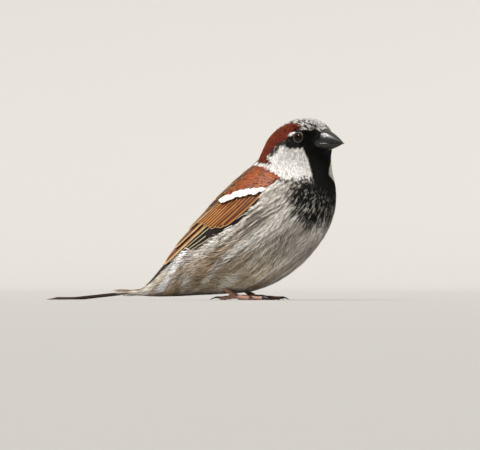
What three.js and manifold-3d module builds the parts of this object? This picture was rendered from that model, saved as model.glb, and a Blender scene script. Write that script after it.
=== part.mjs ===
// A life-size house sparrow, an adult male in breeding plumage, crouched on its toes with its tail on the ground.
// Millimetres, +Z up. The bird faces +X and its right side is at -Y. The ground is z = 0. It is drawn with its feet
// near x = 0, and moved along X at the end so that the origin is the middle of its bounding box's bottom.
import * as THREE from "three";
import { mergeVertices } from "three/addons/utils/BufferGeometryUtils.js";
import Module from "manifold-3d";

const wasm = await Module();
wasm.setup();

// ---- Driving dimensions -------------------------------------------------------------------------------------------

const GAP = 0.3; // between neighbouring pieces
const HEAD_TURN = THREE.MathUtils.degToRad(-12); // the head looks a little to the bird's right
const TURN_PIVOT_X = 26; // the upright axis that the neck turns about
const TURN_FROM = 9; // station where the turn begins
const TURN_OVER = 3.5; // stations that it is spread over

const EYE_CENTRE = [40.3, 8, 70.6]; // left eye, before the head is turned
const EYE_RADIUS = 2.75;

const BILL_BASE_X = 47.8;
const BILL_TIP_X = 58.2;
const BILL_HALF_WIDTH = 3.9;
const CULMEN_BASE_Z = 74.2;
const GAPE_Z = 68.4;
const CHIN_Z = 65.0;
const BILL_TIP_Z = 68.0;

const WING_THICKNESS = 2.3;
const WING_TIP_THICKNESS = 1.2;
const WING_LIFT = 0.25; // the wing stands this proud of the body's outline

const TAIL_ROOT_X = -48;
const TAIL_TIP_X = -88;
const TAIL_ROOT_HALF_WIDTH = 5;
const TAIL_HALF_WIDTH = 8.6;
const TAIL_NOTCH = 1.8; // the middle feathers are this much shorter
const FEATHERS_A_SIDE = 6;

const FOOT = [6, 8.6, 1.5]; // left foot, where the toes meet
const HEEL = [-10, 9.8, 12.5]; // left ankle, inside the flank feathers
const TARSUS_RADIUS = 1.05;
const TOE_RADIUS = 0.95;
// Each toe: its heading in degrees from straight ahead, positive to the bird's outer side, and its lengths.
const TOES = {
  inner: { heading: -24, length: 9.5, claw: 3.6 },
  middle: { heading: 2, length: 13, claw: 4.2 },
  outer: { heading: 27, length: 10, claw: 3.6 },
  hind: { heading: 176, length: 7.2, claw: 4.8 },
};
const CLAW_RADIUS = 0.62;
const CLAW_TIP_RADIUS = 0.25;

// The body from the tail coverts to the bill. Each station is a flat section between a point of the back's outline
// and one of the belly's, both as [x, z], with the half width, and the belt: how far up from the belly the section
// is widest, as a share of its height.
const STATIONS = [
  { at: "tail coverts", top: [-47, 4.6], bottom: [-47.5, 2.2], half: 5, belt: 0.5 },
  { at: "wing tips", top: [-40.5, 7], bottom: [-38, 1.8], half: 6.6, belt: 0.5 },
  { at: "rump", top: [-31, 17], bottom: [-27, 1.9], half: 10.5, belt: 0.5 },
  { at: "vent", top: [-26, 23.4], bottom: [-16, 2.4], half: 14, belt: 0.5 },
  { at: "thighs", top: [-18.5, 31.6], bottom: [-3, 3], half: 17.5, belt: 0.5 },
  { at: "belly", top: [-10.5, 39.6], bottom: [9, 4], half: 20.2, belt: 0.5 },
  { at: "lower breast", top: [-3.5, 46.6], bottom: [21, 8.2], half: 21.4, belt: 0.5 },
  { at: "breast", top: [4.5, 53.4], bottom: [33, 16.3], half: 21.4, belt: 0.5 },
  { at: "shoulders", top: [10.6, 58.4], bottom: [43, 27.7], half: 19.8, belt: 0.5 },
  { at: "upper breast", top: [14.4, 62], bottom: [47.9, 38.5], half: 17.4, belt: 0.48 },
  { at: "neck", top: [16.4, 66.2], bottom: [49, 47], half: 14.8, belt: 0.46 },
  { at: "throat", top: [19.4, 71.6], bottom: [48, 54], half: 12.9, belt: 0.44 },
  { at: "cheeks", top: [26, 76.6], bottom: [47.2, 59.5], half: 11.7, belt: 0.42 },
  { at: "crown", top: [35.2, 79.3], bottom: [46.8, 63], half: 10.9, belt: 0.42 },
  { at: "forehead", top: [43.2, 78.3], bottom: [46.8, 64.8], half: 9.2, belt: 0.45 },
  { at: "bill base", top: [47.3, 75], bottom: [47.4, 65.2], half: 4.8, belt: 0.5 },
];
const LAST = STATIONS.length - 1;
const NECK_FROM = 9.5; // stations where the neck is parted from the trunk and the head
const NECK_TO = 11.2;

// Soft swellings and hollows of the outline: where, how far out in millimetres, and how wide.
const RELIEF = [
  { at: "eye hollow", centre: [40.3, 10.9, 70.6], out: -1, spread: 2.6 },
  { at: "cheek", centre: [34, 12, 65], out: 0.7, spread: 3.6 },
  { at: "brow", centre: [39, 8, 76], out: 0.25, spread: 2.6 },
  { at: "thigh", centre: [-4, 17, 12], out: 0.9, spread: 6 },
];

// The folded wing on the body's outline: station, and the angles round the body of its upper and lower edges,
// in degrees from the middle of the back.
const WING_OUTLINE = [
  { station: 9.35, upper: 44, lower: 72 },
  { station: 8.8, upper: 30, lower: 78 },
  { station: 7.6, upper: 20, lower: 80 },
  { station: 6, upper: 17, lower: 78 },
  { station: 4.6, upper: 17, lower: 75 },
  { station: 3.2, upper: 21, lower: 67 },
  { station: 2.2, upper: 29, lower: 70 },
  { station: 1.5, upper: 36, lower: 72 },
  { station: 1, upper: 42, lower: 58 },
];

// ---- Curves and surfaces ------------------------------------------------------------------------------------------

const degrees = THREE.MathUtils.degToRad;
const mix = THREE.MathUtils.lerp;

// A smooth curve through evenly spaced values, at position t counted in values.
function through(values, t) {
  const last = values.length - 1;
  const i = Math.min(Math.floor(Math.max(t, 0)), last - 1);
  const u = t - i;
  const b = values[i];
  const c = values[i + 1];
  const a = i > 0 ? values[i - 1] : 2 * b - c;
  const d = i + 2 <= last ? values[i + 2] : 2 * c - b;
  return 0.5 * (2 * b + (c - a) * u + (2 * a - 5 * b + 4 * c - d) * u * u + (3 * b - a - 3 * c + d) * u ** 3);
}

// The body's section at a station position s.
function sectionAt(s) {
  const read = (pick) => through(STATIONS.map(pick), s);
  return {
    top: [read((k) => k.top[0]), read((k) => k.top[1])],
    bottom: [read((k) => k.bottom[0]), read((k) => k.bottom[1])],
    half: read((k) => k.half),
    belt: read((k) => k.belt),
  };
}

// Turns a point with the head, by as much as its station has turned.
function withTurn(point, s) {
  const angle = HEAD_TURN * THREE.MathUtils.smoothstep(s, TURN_FROM, TURN_FROM + TURN_OVER);
  const axis = new THREE.Vector3(TURN_PIVOT_X, 0, 0);
  return point.clone().sub(axis).applyAxisAngle(new THREE.Vector3(0, 0, 1), angle).add(axis);
}

// A point of the smooth outline: angle 0 is the middle of the back, positive towards the left side.
function plainPoint(s, angle) {
  const { top, bottom, half, belt } = sectionAt(s);
  const up = Math.cos(angle);
  const share = up > 0 ? belt + (1 - belt) * up : belt + belt * up;
  return new THREE.Vector3(mix(bottom[0], top[0], share), half * Math.sin(angle), mix(bottom[1], top[1], share));
}

// The outward direction of the smooth outline.
function outward(s, angle) {
  const step = 1e-3;
  const low = Math.max(s - step, 0);
  const high = Math.min(s + step, LAST);
  const along = plainPoint(high, angle).sub(plainPoint(low, angle));
  const round = plainPoint(s, angle + step).sub(plainPoint(s, angle - step));
  return along.cross(round).normalize();
}

// The bird's outline with its relief, moved out by lift millimetres.
function bodyPoint(s, angle, lift = 0) {
  const point = plainPoint(s, angle);
  let out = lift;
  for (const { centre, out: height, spread } of RELIEF) {
    const distance = Math.hypot(point.x - centre[0], Math.abs(point.y) - centre[1], point.z - centre[2]);
    out += height * Math.exp(-0.5 * (distance / spread) ** 2);
  }
  return withTurn(point.addScaledVector(outward(s, angle), out), s);
}

// Six times the volume inside a closed mesh, negative when its faces point inwards.
function signedVolume(points, index) {
  let sum = 0;
  for (let i = 0; i < index.length; i += 3) {
    const [a, b, c] = [points[index[i]], points[index[i + 1]], points[index[i + 2]]];
    sum += a.dot(b.clone().cross(c));
  }
  return sum;
}

// A closed solid of rings: each ring of points is joined to the next, and each end is closed by a strip between its
// ring's two halves. The faces are turned outwards, whichever way round the rings are listed.
function ringSolid(rings) {
  const size = rings[0].length;
  const points = rings.flat();
  const index = [];
  for (let i = 0; i + 1 < rings.length; i++)
    for (let j = 0; j < size; j++) {
      const a = i * size + j;
      const b = i * size + ((j + 1) % size);
      index.push(a, a + size, b, b, a + size, b + size);
    }
  for (const end of [0, rings.length - 1])
    for (let j = 0; j < Math.floor((size - 1) / 2); j++) {
      const [a, b, c, d] = [j, j + 1, size - 2 - j, size - 1 - j].map((k) => end * size + k);
      const strip = b === c ? [a, c, d] : [a, b, c, a, c, d];
      index.push(...(end ? strip.reverse() : strip));
    }
  if (signedVolume(points, index) < 0) index.reverse();
  return new THREE.BufferGeometry().setFromPoints(points).setIndex(index);
}

// A closed solid with an outer and an inner sheet, each a function of (a, b) from 0 to 1: every ring goes out along
// the outer sheet and back along the inner one.
function sheetSolid(outer, inner, steps, across) {
  const rings = [];
  for (let i = 0; i <= steps; i++) {
    const ring = [];
    for (let j = 0; j <= across; j++) ring.push(outer(i / steps, j / across));
    for (let j = across; j >= 0; j--) ring.push(inner(i / steps, j / across));
    rings.push(ring);
  }
  return ringSolid(rings);
}

// A tapering tube along a curve. Nothing of it goes below the ground, so that it rests on small flats.
function limb(curve, radiusAt, steps, sides) {
  const up = new THREE.Vector3(0, 0, 1);
  const rings = [];
  for (let i = 0; i <= steps; i++) {
    const t = i / steps;
    const centre = curve.getPoint(t);
    const ahead = curve.getTangent(t);
    const side = ahead.clone().cross(up).normalize();
    const top = side.clone().cross(ahead).normalize();
    const ring = [];
    for (let j = 0; j < sides; j++) {
      const angle = (2 * Math.PI * (j + 0.5)) / sides;
      const p = centre.clone();
      p.addScaledVector(side, radiusAt(t) * Math.cos(angle)).addScaledVector(top, radiusAt(t) * Math.sin(angle));
      p.z = Math.max(p.z, 0);
      ring.push(p);
    }
    rings.push(ring);
  }
  return ringSolid(rings);
}

// ---- Joins and cuts -----------------------------------------------------------------------------------------------

function solidOf(geometry) {
  const bare = geometry.clone();
  bare.deleteAttribute("normal");
  bare.deleteAttribute("uv");
  const merged = mergeVertices(bare, 1e-4);
  const made = new wasm.Manifold(
    new wasm.Mesh({
      numProp: 3,
      vertProperties: new Float32Array(merged.attributes.position.array),
      triVerts: new Uint32Array(merged.index.array),
    }),
  );
  return made;
}

function geometryOf(solid) {
  const mesh = solid.getMesh();
  const positions = new Float32Array(mesh.numVert * 3);
  for (let i = 0; i < mesh.numVert; i++)
    positions.set(mesh.vertProperties.subarray(i * mesh.numProp, i * mesh.numProp + 3), i * 3);
  const geometry = new THREE.BufferGeometry();
  geometry.setAttribute("position", new THREE.BufferAttribute(positions, 3));
  geometry.setIndex(new THREE.BufferAttribute(new Uint32Array(mesh.triVerts), 1));
  return geometry;
}

const largest = (solid) => solid.decompose().sort((a, b) => b.volume() - a.volume())[0];

// The same piece on the bird's other side, with its faces still outwards.
function mirrored(geometry) {
  const copy = geometry.clone().scale(1, -1, 1);
  copy.index.array.reverse();
  return copy;
}

// ---- Flesh: trunk, neck and head ----------------------------------------------------------------------------------

function bodyLength(from, to, steps, sides, lift = 0) {
  const rings = [];
  for (let i = 0; i <= steps; i++) {
    const s = mix(from, to, i / steps);
    const ring = [];
    for (let j = 0; j < sides; j++) ring.push(bodyPoint(s, (2 * Math.PI * j) / sides, lift));
    rings.push(ring);
  }
  return ringSolid(rings);
}

// ---- Wings --------------------------------------------------------------------------------------------------------

// The wing's place on the body for a, from the wrist to the tip, and b, from the upper edge to the lower one.
function wingPlace(a, b, grow = 0) {
  const rows = WING_OUTLINE.length - 1;
  const read = (pick) => through(WING_OUTLINE.map(pick), a * rows);
  const round = 0.3 * (2 * b - 1) ** 2 * (1 - a) ** 8; // the wrist's rounded front
  const s = read((k) => k.station) - round;
  const half = Math.max(sectionAt(s).half, 1);
  const slip = grow / half;
  const angle = mix(degrees(read((k) => k.upper)) - slip, degrees(read((k) => k.lower)) + slip, b);
  const growEnds = 0.25 * grow * (1 - 2 * a);
  return [Math.max(s + growEnds, 0.5), angle];
}

const wingThickness = (a, b) => mix(WING_THICKNESS, WING_TIP_THICKNESS, a) * (0.7 + 0.3 * Math.sin(Math.PI * b));

function wingGeometry() {
  const outer = (a, b) => bodyPoint(...wingPlace(a, b), WING_LIFT);
  const inner = (a, b) => bodyPoint(...wingPlace(a, b), WING_LIFT - wingThickness(a, b));
  return sheetSolid(outer, inner, 22, 6);
}

// The room that a wing takes out of the body, open to the outside.
function wingRoom() {
  const outer = (a, b) => bodyPoint(...wingPlace(a, b, GAP), 4);
  const inner = (a, b) => bodyPoint(...wingPlace(a, b, GAP), WING_LIFT - wingThickness(a, b) - GAP);
  return sheetSolid(outer, inner, 22, 6);
}

// ---- Bill ---------------------------------------------------------------------------------------------------------

// A mandible as rings from its base to its tip: an arch between the gape line and its outer ridge.
function mandible(ridgeZ, tipX, lipZ) {
  const steps = 10;
  const sides = 8;
  const rings = [];
  for (let i = 0; i <= steps; i++) {
    const t = Math.min(i / steps, 0.97);
    const x = mix(BILL_BASE_X, tipX, i / steps);
    const half = BILL_HALF_WIDTH * (1 - t ** 1.35);
    const ring = [];
    for (let j = 0; j <= sides; j++) {
      const angle = (Math.PI * j) / sides;
      const rise = Math.sin(angle) ** 0.85;
      const z = mix(lipZ(t), ridgeZ(t), rise);
      ring.push(withTurn(new THREE.Vector3(x, -half * Math.cos(angle), z), LAST));
    }
    rings.push(ring);
  }
  return ringSolid(rings);
}

const tipDroop = (t) => (BILL_TIP_Z - GAPE_Z) * t ** 4;

function upperBill() {
  const ridge = (t) => mix(CULMEN_BASE_Z, BILL_TIP_Z, t ** 1.55);
  const lip = (t) => GAPE_Z + GAP / 2 + tipDroop(t) - 0.25 * t;
  return mandible(ridge, BILL_TIP_X, lip);
}

function lowerBill() {
  const ridge = (t) => mix(CHIN_Z, BILL_TIP_Z - GAP, t ** 1.5);
  const lip = (t) => GAPE_Z - GAP / 2 + tipDroop(t);
  return mandible(ridge, BILL_TIP_X - 0.9, lip);
}

// ---- Tail ---------------------------------------------------------------------------------------------------------

// How far back the tail reaches at a share across it: a shallow notch, and a rounded end on each feather.
function tailEnd(across) {
  const out = Math.abs(2 * across - 1);
  const feather = (out * FEATHERS_A_SIDE) % 1;
  const rounded = 0.7 * (2 * feather - 1) ** 2 + 3 * out ** 10;
  return TAIL_TIP_X + TAIL_NOTCH * (1 - out) + rounded;
}

function tailPoint(a, b, top) {
  const out = 2 * b - 1;
  const half = mix(TAIL_ROOT_HALF_WIDTH, TAIL_HALF_WIDTH, 1 - (1 - a) ** 1.6);
  const thickness = mix(2.1, 1.1, a);
  const arch = mix(0.4, 0.9, a) * (1 - out * out);
  const under = Math.max(2.4 * (1 - a / 0.72), 0);
  const x = mix(TAIL_ROOT_X, tailEnd(b), a);
  return new THREE.Vector3(x, half * out, top ? under + thickness + arch : under);
}

function tailGeometry() {
  const upper = (a, b) => tailPoint(a, b, true);
  const lower = (a, b) => tailPoint(a, b, false);
  return sheetSolid(upper, lower, 8, 24);
}

// ---- Legs ---------------------------------------------------------------------------------------------------------

const foot = new THREE.Vector3(...FOOT);

// A toe's line on the ground, from the foot's joint: it arches a little over its pads.
function toeCurve({ heading, length }) {
  const ahead = new THREE.Vector3(Math.cos(degrees(heading)), Math.sin(degrees(heading)), 0);
  const heights = [FOOT[2], 1.35, 0.95, 0.85];
  const points = heights.map((z, i) => foot.clone().addScaledVector(ahead, (length * i) / 3).setZ(z));
  return new THREE.CatmullRomCurve3(points);
}

// A toe swells at its joints and narrows to its claw.
const toeRadius = (t) => TOE_RADIUS * (1 - 0.22 * t + 0.07 * Math.cos(6 * Math.PI * t));

function clawCurve({ heading, length, claw }) {
  const ahead = new THREE.Vector3(Math.cos(degrees(heading)), Math.sin(degrees(heading)), 0);
  const start = length + GAP;
  const heights = [0.95, 1.15, 0.85, 0.3];
  const points = heights.map((z, i) => foot.clone().addScaledVector(ahead, start + (claw * i) / 3).setZ(z));
  return new THREE.CatmullRomCurve3(points);
}

function legSolid(room) {
  const heel = new THREE.Vector3(...HEEL);
  const shank = new THREE.CatmullRomCurve3([heel, foot.clone().lerp(heel, 0.45), foot]);
  let made = solidOf(limb(shank, () => TARSUS_RADIUS, 4, 8));
  made = made.add(solidOf(new THREE.SphereGeometry(1.35, 10, 6).translate(...FOOT)));
  for (const toe of Object.values(TOES)) made = made.add(solidOf(limb(toeCurve(toe), toeRadius, 6, 8)));
  const sole = new THREE.CylinderGeometry(1.5, 1.5, 0.5, 12).rotateX(Math.PI / 2).translate(FOOT[0], FOOT[1], 0.25);
  made = made.add(solidOf(sole));
  const aboveGround = solidOf(new THREE.BoxGeometry(60, 60, 60).translate(FOOT[0], FOOT[1], 30));
  return largest(made.intersect(aboveGround).subtract(room));
}

// ---- Assembly -----------------------------------------------------------------------------------------------------

const finish = (color, roughness) => new THREE.MeshStandardMaterial({ color, roughness, metalness: 0 });
const PLUMAGE = finish("#b3a592", 0.95);
const NECK_PLUMAGE = finish("#d9d4cb", 0.95);
const HEAD_PLUMAGE = finish("#7c4428", 0.9);
const FLIGHT = finish("#8a5a34", 0.8);
const TAIL = finish("#5b4a3a", 0.8);
const HORN = finish("#2f2d2e", 0.45);
const EYE = finish("#120c0a", 0.1);
const LEG = finish("#b58a78", 0.6);
const CLAW = finish("#2c2421", 0.5);

const bird = new THREE.Group();
function place(name, geometry, material) {
  const mesh = new THREE.Mesh(geometry, material);
  mesh.name = name;
  bird.add(mesh);
}

const partGap = 0.035; // in stations, which gives a cut of about GAP at the narrow side
const wing = wingGeometry();
const wings = { left: wing, right: mirrored(wing) };
const rooms = solidOf(wingRoom()).add(solidOf(mirrored(wingRoom())));
const trunk = largest(solidOf(bodyLength(0, NECK_FROM - partGap, 24, 32)).subtract(rooms));
const neck = largest(solidOf(bodyLength(NECK_FROM + partGap, NECK_TO - partGap, 4, 28)).subtract(rooms));
let head = solidOf(bodyLength(NECK_TO + partGap, LAST, 14, 28));

const eyes = {};
for (const [side, sign] of [["left", 1], ["right", -1]]) {
  const centre = withTurn(new THREE.Vector3(EYE_CENTRE[0], sign * EYE_CENTRE[1], EYE_CENTRE[2]), LAST);
  const ball = (radius) => new THREE.SphereGeometry(radius, 16, 10).translate(...centre);
  eyes[side] = ball(EYE_RADIUS);
  head = head.subtract(solidOf(ball(EYE_RADIUS + GAP)));
}

place("trunk", geometryOf(trunk), PLUMAGE);
place("neck", geometryOf(neck), NECK_PLUMAGE);
place("head", geometryOf(largest(head)), HEAD_PLUMAGE);
place("bill_upper", upperBill(), HORN);
place("bill_lower", lowerBill(), HORN);
place("tail", tailGeometry(), TAIL);

const bodyRoom = solidOf(bodyLength(0.5, NECK_FROM, 24, 32, GAP));
const leg = geometryOf(legSolid(bodyRoom));
for (const side of ["left", "right"]) {
  const ours = (geometry) => (side === "left" ? geometry : mirrored(geometry));
  place(`eye_${side}`, eyes[side], EYE);
  place(`wing_${side}`, wings[side], FLIGHT);
  place(`leg_${side}`, ours(leg), LEG);
  for (const [name, toe] of Object.entries(TOES)) {
    const radiusAt = (t) => mix(CLAW_RADIUS, CLAW_TIP_RADIUS, t);
    place(`claw_${side}_${name}`, ours(limb(clawCurve(toe), radiusAt, 4, 6)), CLAW);
  }
}

const box = new THREE.Box3().setFromObject(bird);
const middleX = (box.min.x + box.max.x) / 2;
for (const mesh of bird.children) mesh.geometry.translate(-middleX, 0, 0);

export default bird;
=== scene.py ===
# %% [markdown]
# # House sparrow, adult male in breeding plumage, life size
# A crouching bird whose solids already have the right outline, out to the tips of its feathers. This lesson dresses
# them: one skin lies a coat's depth inside the outline, and thousands of small feathers, each a fan of thin strips,
# are rooted on it and reach out to the outline. Wing and tail feathers are modelled one by one.

# %% Load the solids as the frame
import math

import bpy
import numpy as np
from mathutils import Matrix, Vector


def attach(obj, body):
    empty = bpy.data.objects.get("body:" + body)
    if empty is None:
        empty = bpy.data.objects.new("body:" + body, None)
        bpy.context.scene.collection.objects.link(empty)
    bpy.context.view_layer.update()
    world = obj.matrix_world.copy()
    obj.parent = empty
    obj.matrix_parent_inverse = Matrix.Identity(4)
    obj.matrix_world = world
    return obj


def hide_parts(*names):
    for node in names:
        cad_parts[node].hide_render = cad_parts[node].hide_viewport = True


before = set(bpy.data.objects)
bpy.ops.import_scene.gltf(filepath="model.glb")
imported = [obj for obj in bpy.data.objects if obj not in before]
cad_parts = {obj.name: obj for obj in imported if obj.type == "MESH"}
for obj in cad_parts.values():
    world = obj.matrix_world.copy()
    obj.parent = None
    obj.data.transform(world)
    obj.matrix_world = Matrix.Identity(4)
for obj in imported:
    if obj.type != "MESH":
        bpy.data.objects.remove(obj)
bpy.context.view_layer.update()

rng = np.random.default_rng(11)
MM = 0.001
ORIGIN_X = 14.925   # mm that the model's origin lies behind the point between the feet, which the sizes start from
print("solids:", sorted(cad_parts))

# %% [markdown]
# ## Three small helpers
# A colour is easiest to choose as an sRGB hex value, but shaders want linear light. A material is a handful of nodes,
# so one function adds any node with its settings and links. A mesh comes from two arrays, of points and of faces,
# which `foreach_set` writes in one go however many there are.

# %% Colour, node and mesh helpers
def linear(code):
    """sRGB hex to linear: c / 12.92 up to 0.04045, and ((c + 0.055) / 1.055) to the power 2.4 above."""
    c = np.array([int(code[i:i + 2], 16) for i in (1, 3, 5)]) / 255
    return np.where(c <= 0.04045, c / 12.92, ((c + 0.055) / 1.055) ** 2.4)


def rgba(code):
    return (*linear(code), 1.0)


def add(tree, kind, settings=None, values=None, links=None):
    """Adds a node: settings are its own properties, values go on its sockets and links join other sockets to it."""
    node = tree.nodes.new(kind)
    for key, value in (settings or {}).items():
        setattr(node, key, value)
    for key, value in (values or {}).items():
        node.inputs[key].default_value = value
    for key, socket in (links or {}).items():
        tree.links.new(socket, node.inputs[key])
    return node


def new_material(name):
    material = bpy.data.materials.new(name)
    material.use_nodes = True
    tree = material.node_tree
    tree.nodes.clear()
    output = add(tree, "ShaderNodeOutputMaterial")
    return material, tree, output


def piece(name, points, faces, material, replaces=(), colours=None, vane=None, bake=None):
    """A mesh from points in mm and faces of equal size. colours and vane are per point, bake is the OFBake map. A face
    that closes a ring would stretch over the whole map, so it shrinks to a speck at its first corner's place."""
    mesh = bpy.data.meshes.new(name)
    world = (points.reshape(-1, 3) + [ORIGIN_X, 0, 0]) * MM
    corners = faces.shape[1]
    mesh.vertices.add(len(world))
    mesh.vertices.foreach_set("co", world.astype(np.float32).ravel())
    mesh.loops.add(faces.size)
    mesh.loops.foreach_set("vertex_index", faces.astype(np.int32).ravel())
    mesh.polygons.add(len(faces))
    mesh.polygons.foreach_set("loop_start", np.arange(0, faces.size, corners, dtype=np.int32))
    mesh.polygons.foreach_set("use_smooth", np.ones(len(faces), bool))
    if bake is not None:
        layer = mesh.uv_layers.new(name="OFBake")
        uv = np.broadcast_to(bake, (*points.shape[:-1], 2)).reshape(-1, 2)[faces]
        span = np.ptp(uv, axis=1).max(-1)
        torn = span > 6 * np.median(span)
        uv[torn] = uv[torn][:, :1] + np.array([[0, 0], [1, 0], [1, 1], [0, 1]])[:corners] * 1e-4
        layer.data.foreach_set("uv", uv.astype(np.float32).ravel())
    if colours is not None:
        four = np.concatenate([colours.reshape(-1, 3), np.ones((len(world), 1))], 1)
        mesh.attributes.new("coat", "FLOAT_COLOR", "POINT").data.foreach_set("color", four.astype(np.float32).ravel())
    if vane is not None:
        data = mesh.attributes.new("vane", "FLOAT_VECTOR", "POINT").data
        data.foreach_set("vector", vane.reshape(-1, 3).astype(np.float32).ravel())
    mesh.materials.append(material)
    mesh.update(calc_edges=True)
    mesh.validate()
    made = bpy.data.objects.new(name, mesh)
    bpy.context.scene.collection.objects.link(made)
    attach(made, "root")
    if replaces:
        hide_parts(*replaces)
    print(f"{name}: {len(world)} points, {len(faces)} faces")
    return made


def smooth(x, low=0.0, high=1.0):
    """0 below low, 1 above high, and 3 t^2 - 2 t^3 between."""
    t = np.clip((x - low) / (high - low), 0, 1)
    return t * t * (3 - 2 * t)


def blend(a, b, share):
    return a + (b - a) * share


# %% [markdown]
# ## The bird's outline as a function
# A bird's body has no flat or round parts, but it is easy to draw as flat sections from the tail to the bill. Each
# section runs from a point of the back's outline to one of the belly's, with a half width and a belt, the height at
# which it is widest. A smooth curve through the sections makes the outline a function of two numbers: the station
# s along the bird, and the angle f round it, zero on the back and positive to the left. Everything that lies on the
# bird is placed by these two.

# %% Stations of the body
STATIONS = np.array([
    # back x, z, belly x, z, half width, belt, in mm
    [-63, 3.7, -63, 0.7, 7.0, 0.5],      # s = -2, coverts over the tail
    [-55, 4.6, -55, 1.3, 6.0, 0.5],
    [-47, 4.6, -47.5, 2.2, 5.0, 0.5],    # s = 0, root of the tail
    [-40.5, 7, -38, 1.8, 6.6, 0.5],      # wing tips
    [-31, 17, -27, 1.9, 10.5, 0.5],      # rump
    [-26, 23.4, -16, 2.4, 14, 0.5],      # vent
    [-18.5, 31.6, -3, 3, 17.5, 0.5],     # thighs
    [-10.5, 39.6, 9, 4, 20.2, 0.5],      # belly
    [-3.5, 46.6, 21, 8.2, 21.4, 0.5],    # lower breast
    [4.5, 53.4, 33, 16.3, 21.4, 0.5],    # breast
    [10.6, 58.4, 43, 27.7, 19.8, 0.5],   # shoulders
    [14.4, 62, 47.9, 38.5, 17.4, 0.48],  # upper breast
    [16.4, 66.2, 49, 47, 14.8, 0.46],    # neck
    [19.4, 71.6, 48, 54, 12.9, 0.44],    # throat
    [26, 76.6, 47.2, 59.5, 11.7, 0.42],  # cheeks
    [35.2, 79.3, 46.8, 63, 10.9, 0.42],  # crown
    [43.2, 78.3, 46.8, 64.8, 9.2, 0.45], # forehead
    [47.3, 75, 47.4, 65.2, 4.8, 0.5],    # s = 15, base of the bill
])
S_FROM, S_TO = -2.0, 15.0
HEAD_TURN = math.radians(-12)     # the head looks a little to the bird's right
TURN_PIVOT_X = 26.0
EYE_CENTRE = np.array([40.3, 8.0, 70.6])
EYE_RADIUS = 2.75
RELIEF = [  # where, how far out in mm, and how wide
    ((40.3, 10.9, 70.6), -1.0, 2.6),   # eye hollow
    ((34, 12, 65), 0.7, 3.6),          # cheek
    ((39, 8, 76), 0.25, 2.6),          # brow
    ((-4, 17, 12), 0.9, 6),            # thigh
]


def section(s):
    """The six station values at s, by a Catmull-Rom curve: a cubic through four neighbours in a row."""
    place = np.clip(s - S_FROM, 0, len(STATIONS) - 1)
    i = np.minimum(place.astype(int), len(STATIONS) - 2)
    t = (place - i)[..., None]
    padded = np.vstack([2 * STATIONS[0] - STATIONS[1], STATIONS, 2 * STATIONS[-1] - STATIONS[-2]])
    a, b, c, d = (padded[i + k] for k in range(4))
    return 0.5 * (2 * b + (c - a) * t + (2 * a - 5 * b + 4 * c - d) * t**2 + (3 * b - a - 3 * c + d) * t**3)


def outline(s, f):
    """Half width times sin f across, and between belly and back by the belt and cos f."""
    v = section(s)
    back, belly, half, belt = v[..., 0:2], v[..., 2:4], v[..., 4], v[..., 5]
    share = np.where(np.cos(f) > 0, belt + (1 - belt) * np.cos(f), belt * (1 + np.cos(f)))[..., None]
    middle = belly + (back - belly) * share
    return np.stack([middle[..., 0], half * np.sin(f), middle[..., 1]], -1)


def turned(p, s):
    """Turns p about an upright axis, by more the nearer its station is to the head."""
    angle = HEAD_TURN * smooth(s, 9, 12.5)
    x, y = p[..., 0] - TURN_PIVOT_X, p[..., 1]
    return np.stack([TURN_PIVOT_X + x * np.cos(angle) - y * np.sin(angle),
                     x * np.sin(angle) + y * np.cos(angle), p[..., 2]], -1)


# %% [markdown]
# ## A table of the outline
# Half a million points will ask where they lie, so the outline is worked out once on a fine grid, with its relief,
# its outward direction and its two slopes, and every later question reads between the grid's points.

# %% Table of the outline
def make_table():
    """Rows of point, outward direction, slope along s and slope along f, at every grid point."""
    s, f = np.meshgrid(GRID_S, GRID_F, indexing="ij")
    e = 1e-3
    along = outline(s + e, f) - outline(np.maximum(s - e, S_FROM), f)
    across = outline(s, f + e) - outline(s, f - e)
    out = np.cross(along, across)
    out /= np.linalg.norm(out, axis=-1, keepdims=True)
    p = outline(s, f)
    height = np.zeros_like(s)
    for (x, y, z), rise, spread in RELIEF:
        apart = np.sqrt((p[..., 0] - x) ** 2 + (np.abs(p[..., 1]) - y) ** 2 + (p[..., 2] - z) ** 2)
        height += rise * np.exp(-0.5 * (apart / spread) ** 2)
    p = turned(p + out * height[..., None], s)
    along, across = np.gradient(p, GRID_S, GRID_F, axis=(0, 1))
    out = np.cross(along, across)
    out /= np.linalg.norm(out, axis=-1, keepdims=True)
    return np.concatenate([p, out, along, across], -1)


GRID_S = np.linspace(S_FROM, S_TO, 681)
GRID_F = np.radians(np.arange(-180, 181))
TABLE = make_table()


def read(s, f):
    """Point, outward direction, slope along s and slope along f at (s, f), straight between the table's points."""
    s, f = np.broadcast_arrays(s, f)
    last = len(GRID_S) - 1
    row = np.clip((s - S_FROM) / (S_TO - S_FROM) * last, 0, last - 1e-3)
    column = np.degrees(f + math.pi) % 360
    i, j = row.astype(int), np.minimum(column.astype(int), 359)
    u, v = (row - i)[..., None], (column - j)[..., None]
    top = TABLE[i, j] * (1 - v) + TABLE[i, j + 1] * v
    low = TABLE[i + 1, j] * (1 - v) + TABLE[i + 1, j + 1] * v
    found = top * (1 - u) + low * u
    return found[..., 0:3], found[..., 3:6], found[..., 6:9], found[..., 9:12]


def unit(v):
    return v / (np.linalg.norm(v, axis=-1, keepdims=True) + 1e-12)


def wrapped(f):
    """The same angle in radians, between -pi and pi."""
    return (f + math.pi) % (2 * math.pi) - math.pi


def lay(s, f, lift=0.0):
    """The outline at (s, f), moved outwards by lift."""
    p, out, _, _ = read(s, f)
    return p + out * np.asarray(lift)[..., None]


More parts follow.
